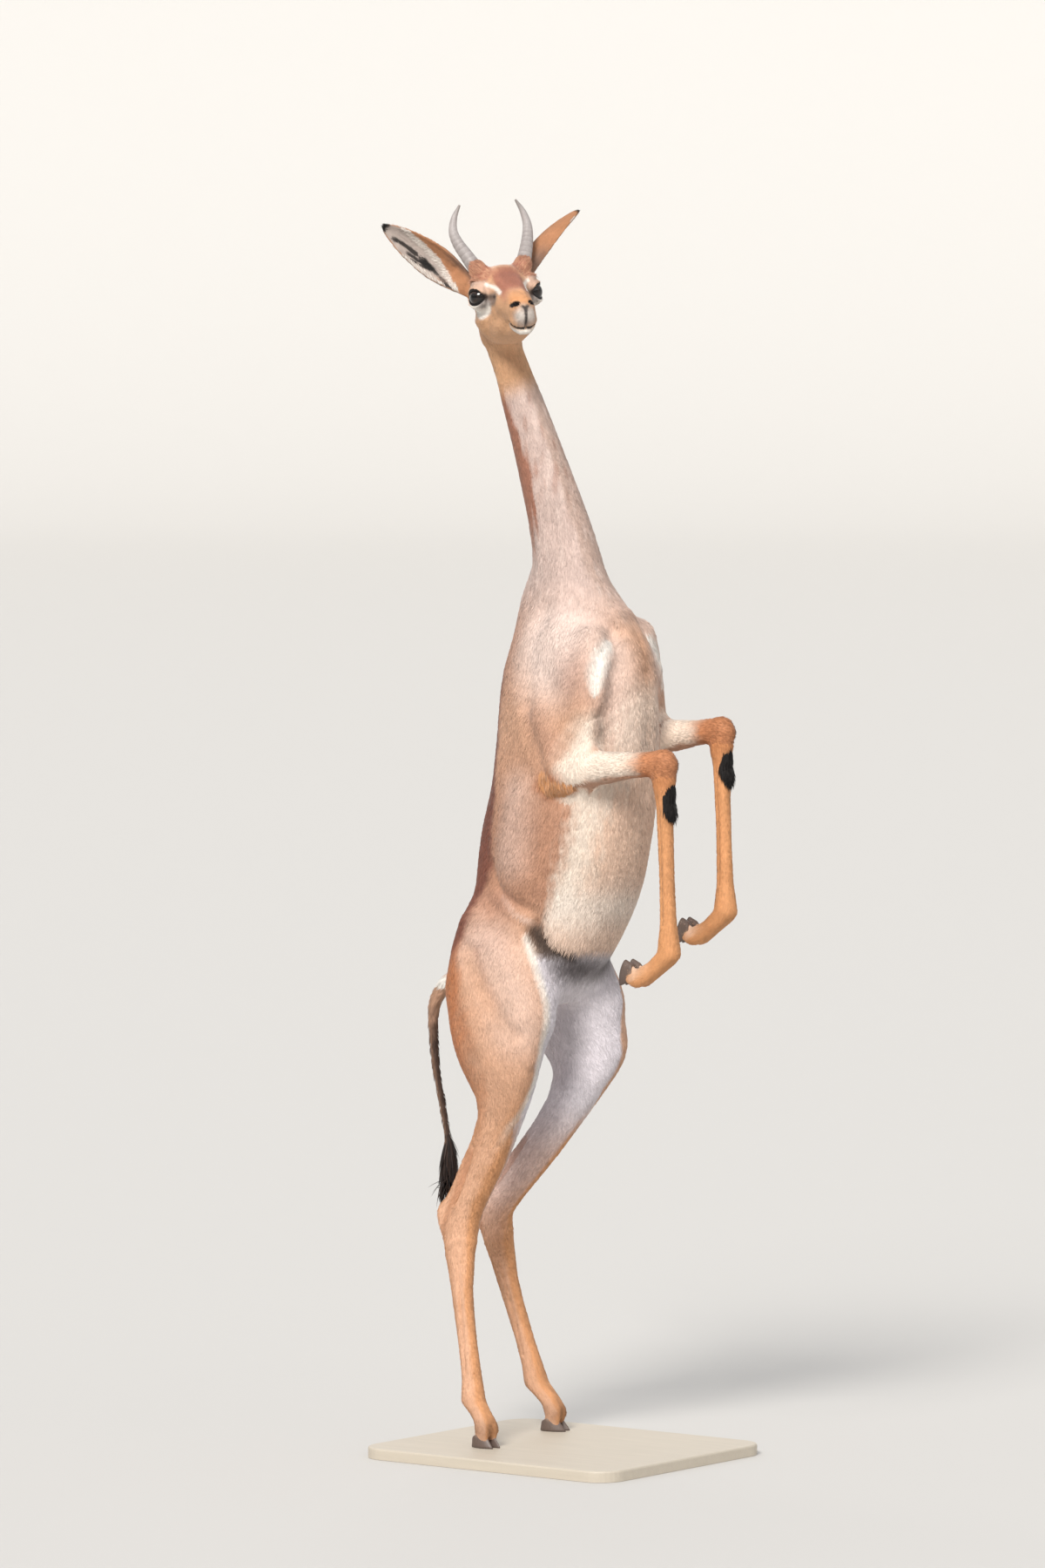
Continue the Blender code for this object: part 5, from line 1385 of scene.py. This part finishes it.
    def sculpt(self, mesh: bpy.types.Mesh) -> None:
        """Presses in the lines of the face, then sets the whole skin in by the depth of the coat."""
        points = points_of(mesh)
        normals = normals_of(points, triangles_of(mesh))
        own = HEAD.own(points)
        rise = sum(stroke.apply(own) for stroke in FACE_STROKES)
        rise = rise + sum(stroke.apply(points - STANCE) for stroke in (*BODY_STROKES, *leg_strokes()))
        lie = Lie.at(points)
        depth = np.full(len(points), self.inset)
        for names, thinner in self.THINNER:
            depth[lie.among(*names)] = thinner
        points += (rise - depth)[:, None] * normals
        Socket().press(points)
        move(mesh, points)


# ---------------------------------------------------------------------------------------------
# The coat


class Shape(Enum):
    """How a tuft is made: a flat lance of 4 triangles, or a bent lock of 16."""

    LANCE = "lance"
    LOCK = "lock"


@dataclass(frozen=True)
class Growth:
    """Hair of one kind: where it grows and how long, wide and steep its tufts are.

    where gives each point of a site a weight, 0 for none. size, where given, replaces the length,
    width and lift that the stretches of the body say, and way and colour do so for its direction
    and its colour.
    """

    name: str
    count: int
    where: Callable[[Site], Array]
    size: tuple[float, float, float] | None = None
    shape: Shape = Shape.LANCE
    way: Callable[[Site], Array] | None = None
    colour: Callable[[Site, Array], Array] | None = None
    spread: float = 0.16
    droop: float = 0.0


@dataclass
class Coat:
    """Tufts of hair as solid meshes, rooted on the skin and laid along the coat.

    Each tuft's own length, width, lift and shade are drawn from the ranges lengths, widths, lifts
    and shades. lance_middle says how far along, how high and how thick a lance's middle is, and
    each row of lock_sections is a place along a lock and its share of the width there.
    """

    skin: bpy.types.Object
    seed: int = 7
    patch: float = 0.003
    sunk: float = 0.0004
    quick_share: float = 0.25
    lengths: tuple[float, float] = (0.72, 1.2)
    widths: tuple[float, float] = (0.8, 1.2)
    lifts: tuple[float, float] = (0.6, 1.4)
    shades: tuple[float, float] = (0.90, 1.08)
    follow: float = 0.25
    tilt: float = 0.13
    lance_middle: tuple[float, float, float] = (0.42, 0.75, 0.12)
    # A lance's points from root to tip: darker at the root as painted shade, lighter at the tip as painted
    # light.
    lance_shades: Row = (0.92, 0.92, 1.0, 1.06)
    lock_sections: Path = ((0.0, 0.8), (0.35, 1.0), (0.72, 0.62), (1.0, 0.0))
    lock_bend: float = 0.35
    lock_ridge: float = 0.32
    # A lock's points from root to tip: darker at the root as painted shade, lighter at the tip as painted
    # light.
    lock_shades: Row = (0.85, 0.85, 0.85, 0.97, 0.97, 0.97, 1.03, 1.03, 1.03, 1.08)
    corners: Array = field(init=False)
    corner_normals: Array = field(init=False)
    areas: Array = field(init=False)
    middles: Site = field(init=False)

    def __post_init__(self) -> None:
        """Reads the skin once for all kinds of hair."""
        points, faces = points_of(self.skin.data), triangles_of(self.skin.data)
        normals = normals_of(points, faces)
        self.corners, self.corner_normals = points[faces], normals[faces]
        crossed = np.cross(self.corners[:, 1] - self.corners[:, 0], self.corners[:, 2] - self.corners[:, 0])
        self.areas = np.linalg.norm(crossed, axis=1) / 2
        self.middles = Site(self.corners.mean(axis=1), unit(self.corner_normals.mean(axis=1)))

    def build(self, growth: Growth) -> bpy.types.Object:
        """Grows one kind of hair.

        Args:
            growth: where and how it grows.

        Returns:
            The hair as one object.
        """
        draw = np.random.default_rng([self.seed, *growth.name.encode()])
        count = int(growth.count * (1))
        site = self.roots(growth, count, draw)
        length, width, lift = (site.lie.hair if growth.size is None else np.tile(growth.size, (count, 1))).T
        length = length * draw.uniform(*self.lengths, count)
        width = width * draw.uniform(*self.widths, count)
        way = site.lie.way if growth.way is None else growth.way(site)
        way = way + self.follow * site.lie.way + growth.spread * draw.normal(size=(count, 3))
        normal = site.normals
        way = unit(way - (way * normal).sum(1, keepdims=True) * normal)
        side = np.cross(normal, way)
        rise = lift * draw.uniform(*self.lifts, count)
        if growth.colour is None:
            colours = MARKINGS.at(site)
        else:
            colours = growth.colour(site, draw.uniform(-1, 1, count))
        colours = colours * draw.uniform(*self.shades, (count, 1))
        make = self.lances if growth.shape is Shape.LANCE else self.locks
        points, faces, shades = make(site.points, way, normal, side, length, width, rise, growth.droop)
        each = points.shape[1]
        triangles = (faces[None] + each * np.arange(count)[:, None, None]).reshape(-1, 3)
        obj = solid(growth.name, points.reshape(-1, 3), triangles)
        tint(obj, (colours[:, None] * shades[None, :, None]).reshape(-1, 3))
        tilt = unit(normal + self.tilt * draw.normal(size=(count, 3)))
        obj.data.normals_split_custom_set_from_vertices(np.repeat(tilt, each, axis=0).tolist())
        self.unwrap(obj, site.lie, triangles, each)
        HAIR_FINISH.dress(obj)
        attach(obj, BODY)
        return obj

    def roots(self, growth: Growth, count: int, draw: np.random.Generator) -> Site:
        """Spreads roots over the skin by the weight that a kind of hair gives it."""
        weight = self.areas * growth.where(self.middles)
        if growth.size is None:
            weight = weight / (self.middles.lie.hair[:, 0] * self.middles.lie.hair[:, 1])
        total = np.cumsum(weight)
        pick = np.searchsorted(total, (np.arange(count) + draw.uniform(size=count)) / count * total[-1])
        pick = np.minimum(pick, len(weight) - 1)
        a, b = draw.uniform(size=(2, count))
        flip = a + b > 1
        a[flip], b[flip] = 1 - a[flip], 1 - b[flip]
        shares = np.column_stack([1 - a - b, a, b])[:, :, None]
        return Site((self.corners[pick] * shares).sum(1), unit((self.corner_normals[pick] * shares).sum(1)))

    def lances(
        self, root: Array, way: Array, normal: Array, side: Array, length: Array, width: Array, rise: Array,
        _: float,
    ) -> tuple[Array, Array, Array]:
        """Flat lances: two points at the root, one raised in the middle and one at the tip."""
        long, wide = (way * length[:, None]), side * (width / 2)[:, None]
        up = normal * (length * rise)[:, None]
        foot = root - normal * self.sunk
        along, raised, thick = self.lance_middle
        middle = root + along * long + raised * up + normal * (thick * width)[:, None]
        points = np.stack([foot + wide, foot - wide, middle, root + long + up], axis=1)
        faces = np.array([(0, 1, 2), (0, 2, 3), (1, 3, 2), (0, 3, 1)])
        return points, faces, np.array(self.lance_shades)

    def locks(
        self, root: Array, way: Array, normal: Array, side: Array, length: Array, width: Array, rise: Array,
        droop: float,
    ) -> tuple[Array, Array, Array]:
        """Bent locks of three triangular sections and a tip, which droop towards the floor."""
        rings = []
        down, ridge = np.array((0.0, 0.0, -1.0)), self.lock_ridge * width
        for place, broad in self.lock_sections:
            bend = rise * (place - self.lock_bend * place**2) * length - self.sunk * (place == 0)
            centre = root + way * (length * place)[:, None] + normal * bend[:, None]
            centre = centre + down * (droop * length * place**2)[:, None]
            half = side * (width / 2 * broad)[:, None]
            rings.append([centre + half, centre - half, centre + normal * (ridge * broad)[:, None]])
        points = np.stack([*rings[0], *rings[1], *rings[2], rings[3][2]], axis=1)
        faces = [(0, 2, 1), (9, 8, 6), (9, 7, 8), (9, 6, 7)]
        for ring in (0, 3):
            for k, after in ((0, 2), (2, 1), (1, 0)):
                low, high = ring + k, ring + after
                faces += [(low, high + 3, high), (low, low + 3, high + 3)]
        faces = np.array([face[::-1] for face in faces])
        return points, faces, np.array(self.lock_shades)

    def unwrap(self, obj: bpy.types.Object, lie: Lie, triangles: Array, each: int) -> None:
        """Gives each tuft a small patch at its root's place on an unwrap of the body's stretches."""
        names, column = np.unique(lie.region, return_inverse=True)
        across = (column + 0.04 + 0.92 * lie.turn) / len(names)
        root = np.column_stack([across, 0.02 + 0.96 * lie.along])
        angle = np.arange(each) * 2 * math.pi / each
        corners = np.column_stack([np.cos(angle), np.sin(angle)]) * self.patch / 2
        places = (root[:, None] + corners[None]).reshape(-1, 2)
        layer = obj.data.uv_layers.new(name="OFBake")
        layer.data.foreach_set("uv", places[triangles.ravel()].astype(np.float32).ravel())


# How far hair keeps off the horns, lids, fore claws, nostrils and lips.
HORN_REACH = 0.0140
LID_BREADTH = 0.0022
CLAW_MIDDLE = (-0.005, 0.0, 0.022)
CLAW_REACH = 0.030
NOSTRIL_REACH = 0.0056
LIP_REACH = 0.0030


def bare(site: Site) -> Array:
    """1 where hair grows, 0 under horns, hooves and eyeballs and on the bare nose and lips."""
    horn, _ = to_path(site.face, np.array(HORN.line)[:, :3])
    hairy = ~site.lie.among("face", "ear_") | (horn > HORN_REACH)
    hairy &= np.linalg.norm(site.face - EYE.centre, axis=1) > EYE.radius + LID_BREADTH
    hairy &= site.local[:, 2] > Hoof.height - 0.001
    for side in Side:
        tip = np.array(SKELETON.fore[side][2]) + np.array(SKELETON.fore_toe) + CLAW_MIDDLE
        hairy &= np.linalg.norm(site.local - tip, axis=1) > CLAW_REACH
    hairy &= site.face_near(Markings.NOSTRIL, NOSTRIL_REACH) + site.face_near(Markings.MOUTH, LIP_REACH) < 0.5
    return hairy.astype(float)


def region(*names: str, low: float = -9.0, high: float = 9.0) -> Callable[[Site], Array]:
    """Where hair grows on some stretches of the body, between two heights from STANCE."""

    def where(site: Site) -> Array:
        """1 on those stretches and between the heights, 0 elsewhere."""
        z = site.local[:, 2]
        return site.lie.among(*names) * (z >= low) * (z < high) * bare(site)

    return where


MIDRIFF = 1.06
SHORT_COAT = (
    Growth("coat_chest", 49_000, region("trunk", "upper", low=MIDRIFF)),
    Growth("coat_belly", 47_000, region("trunk", "upper", high=MIDRIFF)),
    Growth("coat_haunches", 49_000, region("haunch")),
    Growth("coat_neck", 40_000, region("neck")),
    Growth("coat_head", 46_000, region("face", "ear")),
    Growth("coat_legs", 49_000, region("shank", "hind", "forearm", "fore_", "tail")),
)


def plain(*names: str) -> Callable[[Site, Array], Array]:
    """Hair of one named colour of the markings, or mixed by chance from two."""

    def colour(site: Site, chance: Array) -> Array:
        """The tufts' colours, from a chance between -1 and 1 for each."""
        first, last = getattr(MARKINGS, names[0]), getattr(MARKINGS, names[-1])
        return mix(np.tile(first, (len(chance), 1)), last, (chance + 1) / 2)

    return colour


def knee_brush(site: Site) -> Array:
    """Where the black brushes grow, just under each knee."""
    weight = sum(under_knee(site.local, side, 0.19, (0.019, 0.017, 0.025)) < 1 for side in Side)
    return weight * (site.normals[:, 0] > -0.1)


def ear_fringe(site: Site) -> Array:
    """Where the long pale hairs of the ears grow: along the fold and the lower rim of the opening."""
    weight = np.zeros(len(site.points))
    for side in Side:
        along, across, inward = EAR.read(side, site.own)
        fold = np.interp(along, Markings.FOLD_ALONG, Markings.FOLD_ACROSS)
        rim = (np.abs(across - fold) < 0.14) | (across < -0.80)
        inside = (along > 0.12) & (along < 0.86) & (inward > -0.002)
        weight += site.lie.among(f"ear_{side.label}") * rim * inside
    return weight


def ear_fringe_way(site: Site) -> Array:
    """Hairs of the ears lean towards the tip and in over the opening."""
    ways = np.zeros_like(site.points)
    for side in Side:
        _, way, across, _ = EAR.frame(side)
        _, over, _ = EAR.read(side, site.own)
        lean = HEAD.turned(0.8 * way[None] - 0.7 * across[None] * np.sign(over + 0.4)[:, None])
        ways += lean * site.lie.among(f"ear_{side.label}")[:, None]
    return unit(ways)


def tuft_way(site: Site) -> Array:
    """Hair at the horns' roots stands up, forward and out."""
    ways = np.tile((0.10, 0.60, 0.60), (len(site.points), 1))
    ways[:, 1] *= np.sign(site.own[:, 1])
    return HEAD.turned(ways)


def down(site: Site) -> Array:
    """Hair that hangs."""
    return np.tile((0.10, 0.0, -1.0), (len(site.points), 1))


def on_path(path: Path, reach: float) -> Callable[[Site], Array]:
    """Where hair grows close to a path, on both sides."""
    return lambda site: (site.near(path, reach) > 0.5) * bare(site)


def on_patch(place: Row, size: Row) -> Callable[[Site], Array]:
    """Where hair grows on an oval patch, on both sides."""
    return lambda site: site.spot(place, size) * bare(site)


def tail_tuft(site: Site) -> Array:
    """Where the tuft of the tail grows."""
    return region("tail", high=0.490)(site) * (site.normals[:, 2] > -0.35)


def horn_tuft(site: Site) -> Array:
    """Where the tufts at the horns' roots grow."""
    return site.face_spot(Markings.HORN_TUFT, (0.024, 0.019, 0.024), 0.1) * bare(site)


ELBOW_LINE = ((0.128, 0.124, 1.094), (0.148, 0.126, 1.074), (0.182, 0.120, 1.070))
LONG_COAT = (
    Growth("coat_tail_tuft", 700, tail_tuft, (0.036, 0.0024, 0.13), Shape.LOCK, None,
           plain("black", "dark_brown"), 0.08, 0.05),
    Growth("coat_knee_brushes", 1500, knee_brush, (0.0170, 0.0016, 0.36), Shape.LOCK, down,
           plain("black"), 0.12),
    Growth("coat_horn_tufts", 2600, horn_tuft, (0.0105, 0.0011, 0.22), Shape.LOCK, tuft_way,
           plain("rufous", "fawn"), 0.12),
    Growth("coat_chest_crest", 2200, on_path(Markings.CHEST_CREST[:3], 0.018), (0.0150, 0.0014, 0.16),
           Shape.LOCK, None, None, 0.14),
    Growth("coat_elbows", 1300, on_path(ELBOW_LINE, 0.012), (0.0170, 0.0012, 0.14), Shape.LOCK, down,
           plain("orange", "fawn"), 0.12),
    Growth("coat_belly_fringe", 5200, on_patch((0.135, 0.030, 0.865), (0.050, 0.062, 0.052)),
           (0.0200, 0.0013, 0.045), Shape.LOCK, None, None, 0.08),
    Growth("coat_rump", 1600, on_patch((-0.085, 0.018, 0.705), (0.035, 0.040, 0.060)),
           (0.0180, 0.0015, 0.14), Shape.LOCK, down, plain("white"), 0.14),
    Growth("coat_ear_fringe", 2400, ear_fringe, (0.0074, 0.0008, 0.20), Shape.LOCK, ear_fringe_way,
           plain("white", "ear_lining"), 0.14),
)


@dataclass(frozen=True)
class Horn:
    """A ringed horn.

    Each row of line is a place in the head's frame, out from the middle plane, and the radius there.
    ringed is the share of its length that has rings.
    """

    line: tuple[Row, ...] = (
        (-0.0120, 0.0330, 0.0340, 0.0130), (-0.0160, 0.0405, 0.0540, 0.0126),
        (-0.0240, 0.0495, 0.0760, 0.0112), (-0.0350, 0.0575, 0.0980, 0.0096),
        (-0.0410, 0.0610, 0.1190, 0.0076), (-0.0400, 0.0565, 0.1400, 0.0052),
        (-0.0350, 0.0460, 0.1590, 0.0016),
    )
    rings: int = 11
    ringed: float = 0.70
    between: float = 0.985
    raised: float = 0.035
    steepness: float = 1.6
    swell: float = 0.0002
    flat: float = 0.92
    steps: int = 26
    sides: int = 40

    def build(self, side: Side) -> bpy.types.Object:
        """Makes the horn of one side."""
        name = side.label
        rows = curve(np.array(self.line), self.steps)
        share = np.linspace(0, 1, len(rows))
        phase = share / self.ringed * self.rings
        ring = (phase % 1.0) ** self.steepness * ramp(share, self.ringed + 0.06, self.ringed - 0.08)
        radius = rows[:, 3] * (self.between + self.raised * ring) + self.swell
        centres = rows[:, :3] * (1, side.value, 1)
        points, triangles = tube(centres, (1.0, 0.0, 0.0), radius, radius * self.flat, self.sides)
        along = np.append(np.repeat(share, self.sides), (0, 1))
        ridge = np.append(np.repeat(ring, self.sides), (0, 0))
        obj = solid(f"ringed_horn_{name}", HEAD.placed(points), triangles)
        streak = ripple(points * (3, 3, 0.6), 0.010, 21 + side.value)
        colours = np.tile(linear(172, 164, 161), (len(points), 1))
        colours = mix(colours, linear(140, 128, 122), ramp(along, 0.22, 0.06) * 0.7)
        colours = mix(colours, linear(120, 109, 104), (1 - ridge) * ramp(along, 0.70, 0.45) * 0.40)
        colours = mix(colours, linear(136, 126, 120), ramp(along, 0.84, 1.0) * 0.7)
        tint(obj, colours * (1 + 0.10 * streak)[:, None])
        HORN_FINISH.dress(obj)
        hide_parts(f"horn_{name}")
        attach(obj, BODY)
        return obj


HORN = Horn()


@dataclass(frozen=True)
class Hoof:
    """The two claws of a foot, as the solids have them but rounded and ringed.

    taper, pointed and inner narrow a claw upwards, towards the toe and on its inner side.
    """

    length: float = 0.046
    width: float = 0.0185
    height: float = 0.027
    heel: float = 0.016
    slope: float = math.radians(52)
    spread: float = 0.0098
    fore_sole_turn: float = math.radians(106)
    taper: float = 0.10
    pointed: float = 0.50
    inner: float = 0.72
    toe_in: float = 0.0015
    ring_height: float = 0.00022
    ring_rate: float = 40.0
    levels: int = 14
    sides: int = 36

    def foot(self, side: Side, hind: bool) -> Array:
        """The frame of a foot: origin at the tip of its toes, X forward along the sole."""
        if hind:
            ankle, toe = (Vector(place) for place in SKELETON.hind[side][3:])
            heading = math.atan2(toe.y - ankle.y, toe.x - ankle.x)
            return np.array(Matrix.Translation(Vector(STANCE) + toe) @ Matrix.Rotation(heading, 4, "Z"))
        tip = Vector(STANCE) + Vector(SKELETON.fore[side][2]) + Vector(SKELETON.fore_toe)
        return np.array(Matrix.Translation(tip) @ Matrix.Rotation(self.fore_sole_turn, 4, "Y"))

    def build(self, side: Side, hind: bool, claw: int) -> bpy.types.Object:
        """Makes one claw. claw is -1 or 1 across the foot."""
        share = np.linspace(0, 1, self.levels)[:, None]
        angle = (np.arange(self.sides) * 2 * math.pi / self.sides)[None]
        along = 0.5 - 0.5 * np.cos(angle)
        half = self.width / 2 * (1 - self.taper * share) * (1 - self.pointed * along**3)
        across = half * np.sin(angle)
        across = np.where(across * claw < 0, across * self.inner, across)
        across = across + claw * (self.spread - self.toe_in * along)
        rise = (self.heel + (self.height - self.heel) * along) * share
        front = -self.height * share / math.tan(self.slope)
        back = -self.length + 0.10 * self.height * share
        ring = self.ring_height * np.sin(share * self.ring_rate) * ramp(share, 0.05, 0.15)
        round_edge = 1 - 0.05 * ramp(share, 0.10, 0.0) - 0.06 * ramp(share, 0.93, 1.0)
        middle = (front + back) / 2
        forward = middle + (back + (front - back) * along - middle) * round_edge + ring * (2 * along - 1)
        points = np.stack([forward, across * round_edge, rise + 0 * angle], axis=-1).reshape(-1, 3)
        points = np.vstack([points, points[: self.sides].mean(0), points[-self.sides :].mean(0)])
        matrix = self.foot(side, hind)
        triangles = capped(self.levels, self.sides, turned=True)
        place = "outer" if claw == side.value else "inner"
        node = f"hoof_{'hind' if hind else 'fore'}_{side.label}_{place}"
        obj = solid("claw_" + node[5:], points @ matrix[:3, :3].T + matrix[:3, 3], triangles)
        height = points[:, 2] / self.height
        mottled = height + 0.15 * ripple(points, 0.006, 5)
        colours = np.tile(linear(98, 82, 74), (len(points), 1))
        colours = mix(colours, linear(140, 116, 98), ramp(mottled, 0.50, 0.95) * 0.7)
        colours = mix(colours, linear(76, 64, 58), ramp(height, 0.20, 0.0) * 0.6)
        tint(obj, colours)
        HOOF_FINISH.dress(obj)
        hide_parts(node)
        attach(obj, BODY)
        return obj


# ---------------------------------------------------------------------------------------------
# The base and the studio


@dataclass(frozen=True)
class Board:
    """The base that the hind hooves stand on: the solid itself, with its finish."""

    name: str = "stand_base"

    def build(self) -> bpy.types.Object:
        """Dresses the base."""
        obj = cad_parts[self.name]
        tint(obj, np.tile(linear(196, 186, 170), (len(obj.data.vertices), 1)))
        BASE_FINISH.dress(obj)
        return obj


@dataclass(frozen=True)
class Camera:
    """The photograph's view, as a long lens at 15 m."""

    azimuth: float = math.radians(37)
    distance: float = 15.0
    height: float = 2.1
    aside: float = 0.0028
    pixel: float = 0.0014
    ground_row: float = 753.0
    rows: int = 1800
    sensor: float = 24.0
    clip_end: float = 100.0

    def build(self) -> None:
        """Makes the camera and makes it the scene's."""
        away = Vector((-math.sin(self.azimuth), math.cos(self.azimuth), 0.0))
        right = Vector((math.cos(self.azimuth), math.sin(self.azimuth), 0.0))
        reach = self.distance / self.pixel
        data = bpy.data.cameras.new("camera")
        data.sensor_fit = "VERTICAL"
        data.sensor_height = self.sensor
        data.lens = reach / self.rows * self.sensor
        data.clip_end = self.clip_end
        pitch = math.atan2(self.height, self.distance) - math.atan2(self.ground_row, reach)
        look = away * math.cos(pitch) - Vector((0, 0, 1)) * math.sin(pitch)
        obj = bpy.data.objects.new("camera", data)
        place = Vector(STANCE) - away * self.distance + Vector((0, 0, self.height))
        obj.location = place + right * self.aside
        obj.rotation_euler = look.to_track_quat("-Z", "Y").to_euler()
        bpy.context.scene.collection.objects.link(obj)
        bpy.context.scene.camera = obj


@dataclass(frozen=True)
class Lamp:
    """A broad, soft light from far away, along a direction towards it."""

    name: str
    towards: Row
    breadth: float
    power: float
    colour: Row = (1.0, 1.0, 1.0)


@dataclass(frozen=True)
class Studio:
    """A plain pale floor that sweeps up into a wall all round, under soft light."""

    lamps: tuple[Lamp, ...] = (
        Lamp("key", (0.24, -0.74, 0.63), math.radians(20), 3.0, (1.0, 0.97, 0.93)),
        Lamp("fill", (0.90, -0.10, 0.35), math.radians(60), 0.45, (0.96, 0.98, 1.0)),
        Lamp("rim", (-0.70, 0.60, 0.60), math.radians(50), 0.5),
    )
    floor_radius: float = 34.0
    cove: float = 9.0
    wall: float = 8.0
    bends: int = 13
    sides: int = 96
    sky: float = 0.62
    sky_colour: Row = (0.94, 0.96, 1.0, 1.0)
    floor_colour: Row = (0.60, 0.585, 0.56, 1.0)
    floor_roughness: float = 0.85
    below: float = 0.0004

    def build(self) -> None:
        """Makes the floor, the lights and the sky."""
        scene = bpy.context.scene
        turn = np.radians(np.linspace(0, 90, self.bends))
        radii = [0.0001, *(self.floor_radius + self.cove * np.sin(turn))]
        heights = [0.0, *(self.cove * (1 - np.cos(turn)))]
        radii.append(radii[-1])
        heights.append(heights[-1] + self.wall)
        angle = np.arange(self.sides) * 2 * math.pi / self.sides
        ring = np.column_stack([np.cos(angle), np.sin(angle), np.ones(self.sides)])
        rings = [ring * (radius, radius, height) for radius, height in zip(radii, heights)]
        faces = joined(len(radii), self.sides, turned=True)
        floor = solid("floor", np.vstack(rings) - (0, 0, self.below), faces)
        made = bpy.data.materials.new("floor")
        made.use_nodes = True
        shader = made.node_tree.nodes["Principled BSDF"]
        shader.inputs["Base Color"].default_value = self.floor_colour
        shader.inputs["Roughness"].default_value = self.floor_roughness
        floor.data.materials.append(made)
        for lamp in self.lamps:
            data = bpy.data.lights.new(lamp.name, "SUN")
            data.angle = lamp.breadth
            data.energy = lamp.power
            data.color = lamp.colour
            obj = bpy.data.objects.new(lamp.name, data)
            obj.rotation_euler = Vector(lamp.towards).to_track_quat("Z", "Y").to_euler()
            scene.collection.objects.link(obj)
        world = bpy.data.worlds.new("sky")
        world.use_nodes = True
        back = world.node_tree.nodes["Background"]
        back.inputs["Color"].default_value = self.sky_colour
        back.inputs["Strength"].default_value = self.sky
        scene.world = world
        scene.view_settings.view_transform = "Standard"


def main() -> None:
    """Builds and dresses every piece in order."""
    logging.basicConfig(level=logging.INFO, format="%(name)s: %(message)s")
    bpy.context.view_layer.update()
    Camera().build()
    Studio().build()
    Board().build()
    skin = Skin().build()
    pieces = [skin]
    for side in Side:
        pieces += [EYE.build(side), LIDS.build(side), HORN.build(side)]
        pieces += [Hoof().build(side, hind, claw) for hind in (False, True) for claw in (-1, 1)]
    coat = Coat(skin)
    pieces += [coat.build(growth) for growth in (*SHORT_COAT, *LONG_COAT)]
    for piece in pieces:
        log.info("%s: %d triangles", piece.name, len(piece.data.polygons))
    log.info("all pieces: %d triangles", sum(len(piece.data.polygons) for piece in pieces))


if __name__ == "__main__":
    main()
